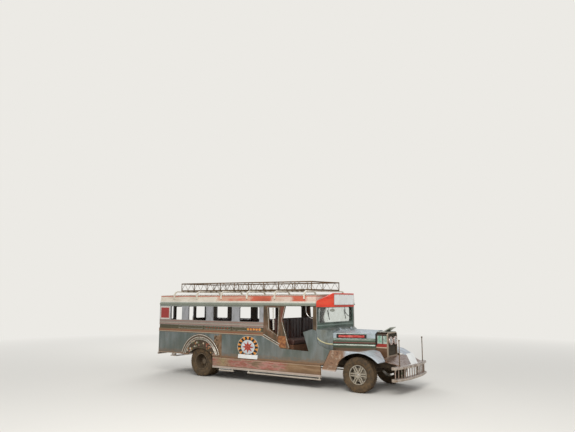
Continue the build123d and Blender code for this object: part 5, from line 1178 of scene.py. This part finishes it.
def padded_section(size, cap, axis, channels):
    """Mesh of one section. Channels are places along an axis, pressed into the + face of its thinnest way."""
    bm = bmesh.new()
    bmesh.ops.create_cube(bm, size=1.0)
    bmesh.ops.scale(bm, vec=[s - cap * 1.2 for s in size], verts=bm.verts[:])
    bmesh.ops.bevel(bm, geom=bm.edges[:], offset=0.018, segments=3, affect="EDGES", profile=0.6)
    mesh = bpy.data.meshes.new("section")
    bm.to_mesh(mesh)
    bm.free()
    holder = placed("section", mesh)
    remesh = holder.modifiers.new("remesh", "REMESH")
    remesh.mode = "VOXEL"
    remesh.voxel_size = VOXEL
    base = applied(holder)
    holder.data = base
    still = [v.co.copy() for v in base.vertices]
    cloth = holder.modifiers.new("cloth", "CLOTH")
    cloth.settings.use_pressure = True
    cloth.settings.uniform_pressure_force = PRESSURE
    cloth.settings.effector_weights.gravity = 0
    cloth.point_cache.frame_start, cloth.point_cache.frame_end = 1, SWELL_FRAMES
    for number in range(1, SWELL_FRAMES + 1):
        bpy.context.scene.frame_set(number)
    swollen = applied(holder)
    bpy.context.scene.frame_set(1)
    for vertex, place, grown in zip(base.vertices, still, swollen.vertices):
        move = grown.co - place
        vertex.co = place + move * min(1, cap * 0.6 / max(move.length, 1e-6))
    face = min(range(3), key=lambda axis: size[axis])
    for vertex in base.vertices:
        if vertex.co[face] > 0:
            pressed_in = (exp(-(((vertex.co[axis] - line) / CHANNEL_WIDTH) ** 2)) for line in channels)
            vertex.co[face] -= sum(CHANNEL_DEPTH * share for share in pressed_in)
    bpy.data.objects.remove(holder)
    return base


def seat(node, size, cap, axis, channels, places, mirror=False):
    """A padded piece that stands for a CAD node: copies of one section at the given places."""
    section = padded_section(size, cap, axis, channels)
    bm = bmesh.new()
    for place in places:
        made = section.copy()
        made.transform(Matrix.Translation(place))
        bm.from_mesh(made)
        bpy.data.meshes.remove(made)
    pad = piece("padded_" + node, bm, vinyl, mirror=mirror, sharp=60, replaces=(node,))


# %% [markdown]
# The two benches run along the sides with six sections each, and their low backs have six as well.
# In front there are three sections side by side, and three taller ones for the backrest.

# %% Seats
low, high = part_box("bench_cushions")
bench_run = (high.x - low.x) / 6
low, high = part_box("front_seat")
seat_run = (high.y - low.y) / 3
# CAD node, inner edge, gap to the side wall, gap in height, how far a section may swell
BENCHES = (("bench_cushions", 0.385, 0.004, 0.002, 0.012), ("bench_backs", 0.79, 0.002, 0.004, 0.008))
for node, inner, gap_y, gap_z, cap in BENCHES:
    low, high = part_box(node)
    size = (bench_run - 0.006, high.y - inner - gap_y, high.z - low.z - gap_z)
    places = [(low.x + bench_run * (k + 0.5), -(inner + high.y) / 2, (low.z + high.z) / 2) for k in range(6)]
    seat(node, size, cap, 0, (-0.09, 0.09), places, mirror=True)
# CAD node, gap in length, gap in height, axis across the channels, their places
SEATS = (("front_seat", 0.004, 0.002, 0, (-0.12, 0, 0.12)), ("front_backrest", 0.002, 0.004, 1, (-0.13, 0, 0.13)))
for node, gap_x, gap_z, axis, channels in SEATS:
    low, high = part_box(node)
    size = (high.x - low.x - gap_x, seat_run - 0.006, high.z - low.z - gap_z)
    places = [((low.x + high.x) / 2, low.y + seat_run * (k + 0.5), (low.z + high.z) / 2) for k in range(3)]
    seat(node, size, 0.012, axis, channels, places)

# %% [markdown]
# Before the steering wheel are three round dials, a lever with a round knob and three pedals. Dial faces
# carry plain ticks only, copied by the ring tree.

# %% Driver's controls
dash_low, dash_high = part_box("dashboard")
dial_white = weathered("dial_face", "d7d3c8", (0, 0.4, 0.1, 0.9, 0.05))
bezel = ((0.036, 0), (0.044, 0), (0.044, 0.006), (0.04, 0.01), (0.036, 0.006))
face = ((0, 0.0005), (0.0358, 0.0005), (0.0358, 0.003), (0, 0.003))
rings, faces = bmesh.new(), bmesh.new()
for y in (0.31, 0.42, 0.53):
    centre = Vector((dash_low.x, y, (dash_low.z + dash_high.z) / 2))
    lathe(rings, bezel, centre, (-1, 0, 0), 28, closed=True)
    lathe(faces, face, centre, (-1, 0, 0), 28)
    tick = bmesh.new()
    bmesh.ops.create_cube(tick, size=1.0)
    bmesh.ops.scale(tick, vec=(0.001, 0.0016, 0.007), verts=tick.verts[:])
    bmesh.ops.translate(tick, vec=(-0.0032, 0, 0.029), verts=tick.verts[:])
    repeated(rings, tick, ring_of, bright_chrome, 12, (1, 0, 0), centre)
    needle = [centre + Vector((-0.004, 0, 0)), centre + Vector((-0.004, 0.012, 0.022))]
    tube(rings, needle, 0.0012, (1, 0, 0), 6)
piece("dial_rings", rings, bright_chrome)
piece("dial_faces", faces, dial_white)
bm = bmesh.new()
lever_foot = Vector((ahead(-1.36), 0.06, 0.589))
lever = ((0, 0, 0), (0, 0, 0.07), (-0.02, 0.005, 0.21), (-0.06, 0.01, 0.36), (-0.07, 0.01, 0.39))
lever = [lever_foot + Vector(point) for point in lever]
tube(bm, lever, 0.008, (0, 1, 0))
knob = ((0, 0), (0.012, 0.002), (0.024, 0.014), (0.026, 0.028), (0.018, 0.044), (0, 0.05))
lathe(bm, knob, lever[-1] - Vector((0, 0, 0.005)), (-0.1, 0, 1), 16)
lathe(bm, ((0, 0), (0.07, 0), (0.055, 0.014), (0.03, 0.03), (0.02, 0.05), (0, 0.052)), lever_foot, (0, 0, 1), 20)
for y in (0.3, 0.42, 0.54):
    tube(bm, [(ahead(x), y, z) for x, z in ((-0.96, 0.75), (-0.99, 0.74), (-1.03, 0.7))], 0.007, (0, 1, 0))
    pad = ((-0.03, -0.04), (0.03, -0.04), (0.03, 0.04), (-0.03, 0.04))
    plate(bm, pad, (ahead(-1.03), y, 0.7), (0, -1, 0), (0.5, 0, 0.86), 0.01, bevel=0.003)
piece("driver_controls", bm, wheel_black)

# %% [markdown]
# Wipers hang from the top of the windshield, because the cowl is too near the glass below. Each is a
# bent arm with a thin blade. A mirror hangs inside, over the middle of the dashboard.

# %% Wipers and mirror
screen_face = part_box("windshield_frame")[1].x
glass_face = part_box("windshield_glass")[1].x
bm = bmesh.new()
wiper_z = 1.684
blade = ((-0.004, -0.006), (0.004, -0.006), (0.002, 0.006), (-0.002, 0.006))
for y in (-0.38, 0.38):
    lathe(bm, ((0, 0), (0.014, 0), (0.014, 0.014), (0.008, 0.02), (0, 0.02)), (screen_face, y, wiper_z), (1, 0, 0), 14)
    elbow, tip = (screen_face + 0.01, y + 0.03, 1.6), (glass_face + 0.012, y + 0.085, 1.505)
    tube(bm, [(screen_face + 0.012, y, wiper_z), elbow, tip], 0.004, (1, 0, 0))
    sweep(bm, [(glass_face + 0.007, y + 0.04, 1.61), (glass_face + 0.007, y + 0.13, 1.4)], blade, up=(1, 0, 0))
piece("wipers", bm, wheel_black)
bm = bmesh.new()
screen_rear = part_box("windshield_frame")[0].x
plate(bm, oval(0.11, 0.035, 32), (screen_rear - 0.015, 0, 1.6), (0, -1, 0), (0, 0, 1), 0.014, bevel=0.004)
tube(bm, [(screen_rear - x, 0, z) for x, z in ((0.013, 1.6), (0.006, 1.67), (-0.001, 1.69))], 0.005, (0, 1, 0))
piece("inside_mirror", bm, bright_chrome)

# %% [markdown]
# Small bright parts finish the rear: bezels round the tail lamps and pull handles beside the doorway.

# %% Fittings of the rear
wall_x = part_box("rear_wall")[0].x
bm = bmesh.new()
for y in (-0.7, 0.7):
    lamp_bezel = ((0.057, 0), (0.066, 0), (0.066, 0.012), (0.061, 0.018), (0.057, 0.012))
    lathe(bm, lamp_bezel, (wall_x, y, 0.85), (-1, 0, 0), 32, closed=True)
for y in (-0.372, 0.372):
    handle = ((-0.002, 1.05), (0.035, 1.07), (0.045, 1.11), (0.045, 1.35), (0.035, 1.39), (-0.002, 1.41))
    tube(bm, [(wall_x - x, y, z) for x, z in handle], 0.01, (0, 1, 0))
piece("rear_fittings", bm, bright_chrome)

# %% [markdown]
# The studio is a plain pale floor that runs out of view, a pale sky and two large soft lamps.
# Far from the vehicle the floor fades into the backdrop for camera rays only, as a curved studio wall
# does, so no horizon line crosses the picture and no extra light falls on the paint.

# %% Floor, world and lamps
BACKDROP = "eceae5"
FLOOR_HALF, FADE_FROM, FADE_TO = 120, 5, 18


def for_the_eye(tree):
    """1 for rays from the camera or through glass, 0 for the light that falls on the paint."""
    rays = add(tree, "ShaderNodeLightPath")
    seen = {0: rays["Is Camera Ray"], 1: rays["Is Transmission Ray"]}
    return add(tree, "ShaderNodeMath", seen, operation="MAXIMUM")[0]


floor_mesh = bpy.data.meshes.new("studio_floor")
floor_corners = [(x * FLOOR_HALF, y * FLOOR_HALF, 0) for x, y in ((-1, -1), (1, -1), (1, 1), (-1, 1))]
floor_mesh.from_pydata(floor_corners, [], [(0, 1, 2, 3)])
studio_floor = placed("studio_floor", floor_mesh)
floor_finish = bpy.data.materials.new("pale_floor")
floor_finish.use_nodes = True
tree = floor_finish.node_tree
floor_shader = tree.nodes["Principled BSDF"]
floor_shader.inputs["Base Color"].default_value = linear("d9d5cc")
floor_shader.inputs["Roughness"].default_value = 0.9
place = add(tree, "ShaderNodeTexCoord")["Object"]
away = add(tree, "ShaderNodeVectorMath", {0: place}, operation="LENGTH")["Value"]
seen = for_the_eye(tree)
fade = {"Value": away, "From Min": FADE_FROM, "From Max": FADE_TO}
fade = add(tree, "ShaderNodeMapRange", fade)["Result"]
fade = add(tree, "ShaderNodeMath", {0: seen, 1: fade}, operation="MULTIPLY")[0]
glow = add(tree, "ShaderNodeEmission", {"Color": BACKDROP, "Strength": 1})[0]
both = add(tree, "ShaderNodeMixShader", {"Fac": fade, 1: floor_shader.outputs[0], 2: glow})[0]
tree.links.new(both, tree.nodes["Material Output"].inputs["Surface"])
floor_mesh.materials.append(floor_finish)

world = bpy.data.worlds.new("studio")
bpy.context.scene.world = world
world.use_nodes = True
sky = world.node_tree
light = add(sky, "ShaderNodeBackground", {"Color": "e6e9ee", "Strength": 0.8})[0]
backdrop = add(sky, "ShaderNodeBackground", {"Color": BACKDROP, "Strength": 1})[0]
both = add(sky, "ShaderNodeMixShader", {"Fac": for_the_eye(sky), 1: light, 2: backdrop})[0]
sky.links.new(both, sky.nodes["World Output"].inputs["Surface"])

# name, place, size, power
LAMPS = (("key_lamp", (6, -9, 9), 6, 950), ("fill_lamp", (-8, 8, 8), 8, 550))
for name, place, size, power in LAMPS:
    lamp = bpy.data.lights.new(name, "AREA")
    lamp.size = size
    lamp.energy = power
    holder = placed(name, lamp)
    holder.location = place
    holder.rotation_euler = (-Vector(place)).to_track_quat("-Z", "Y").to_euler()
print("studio ready")
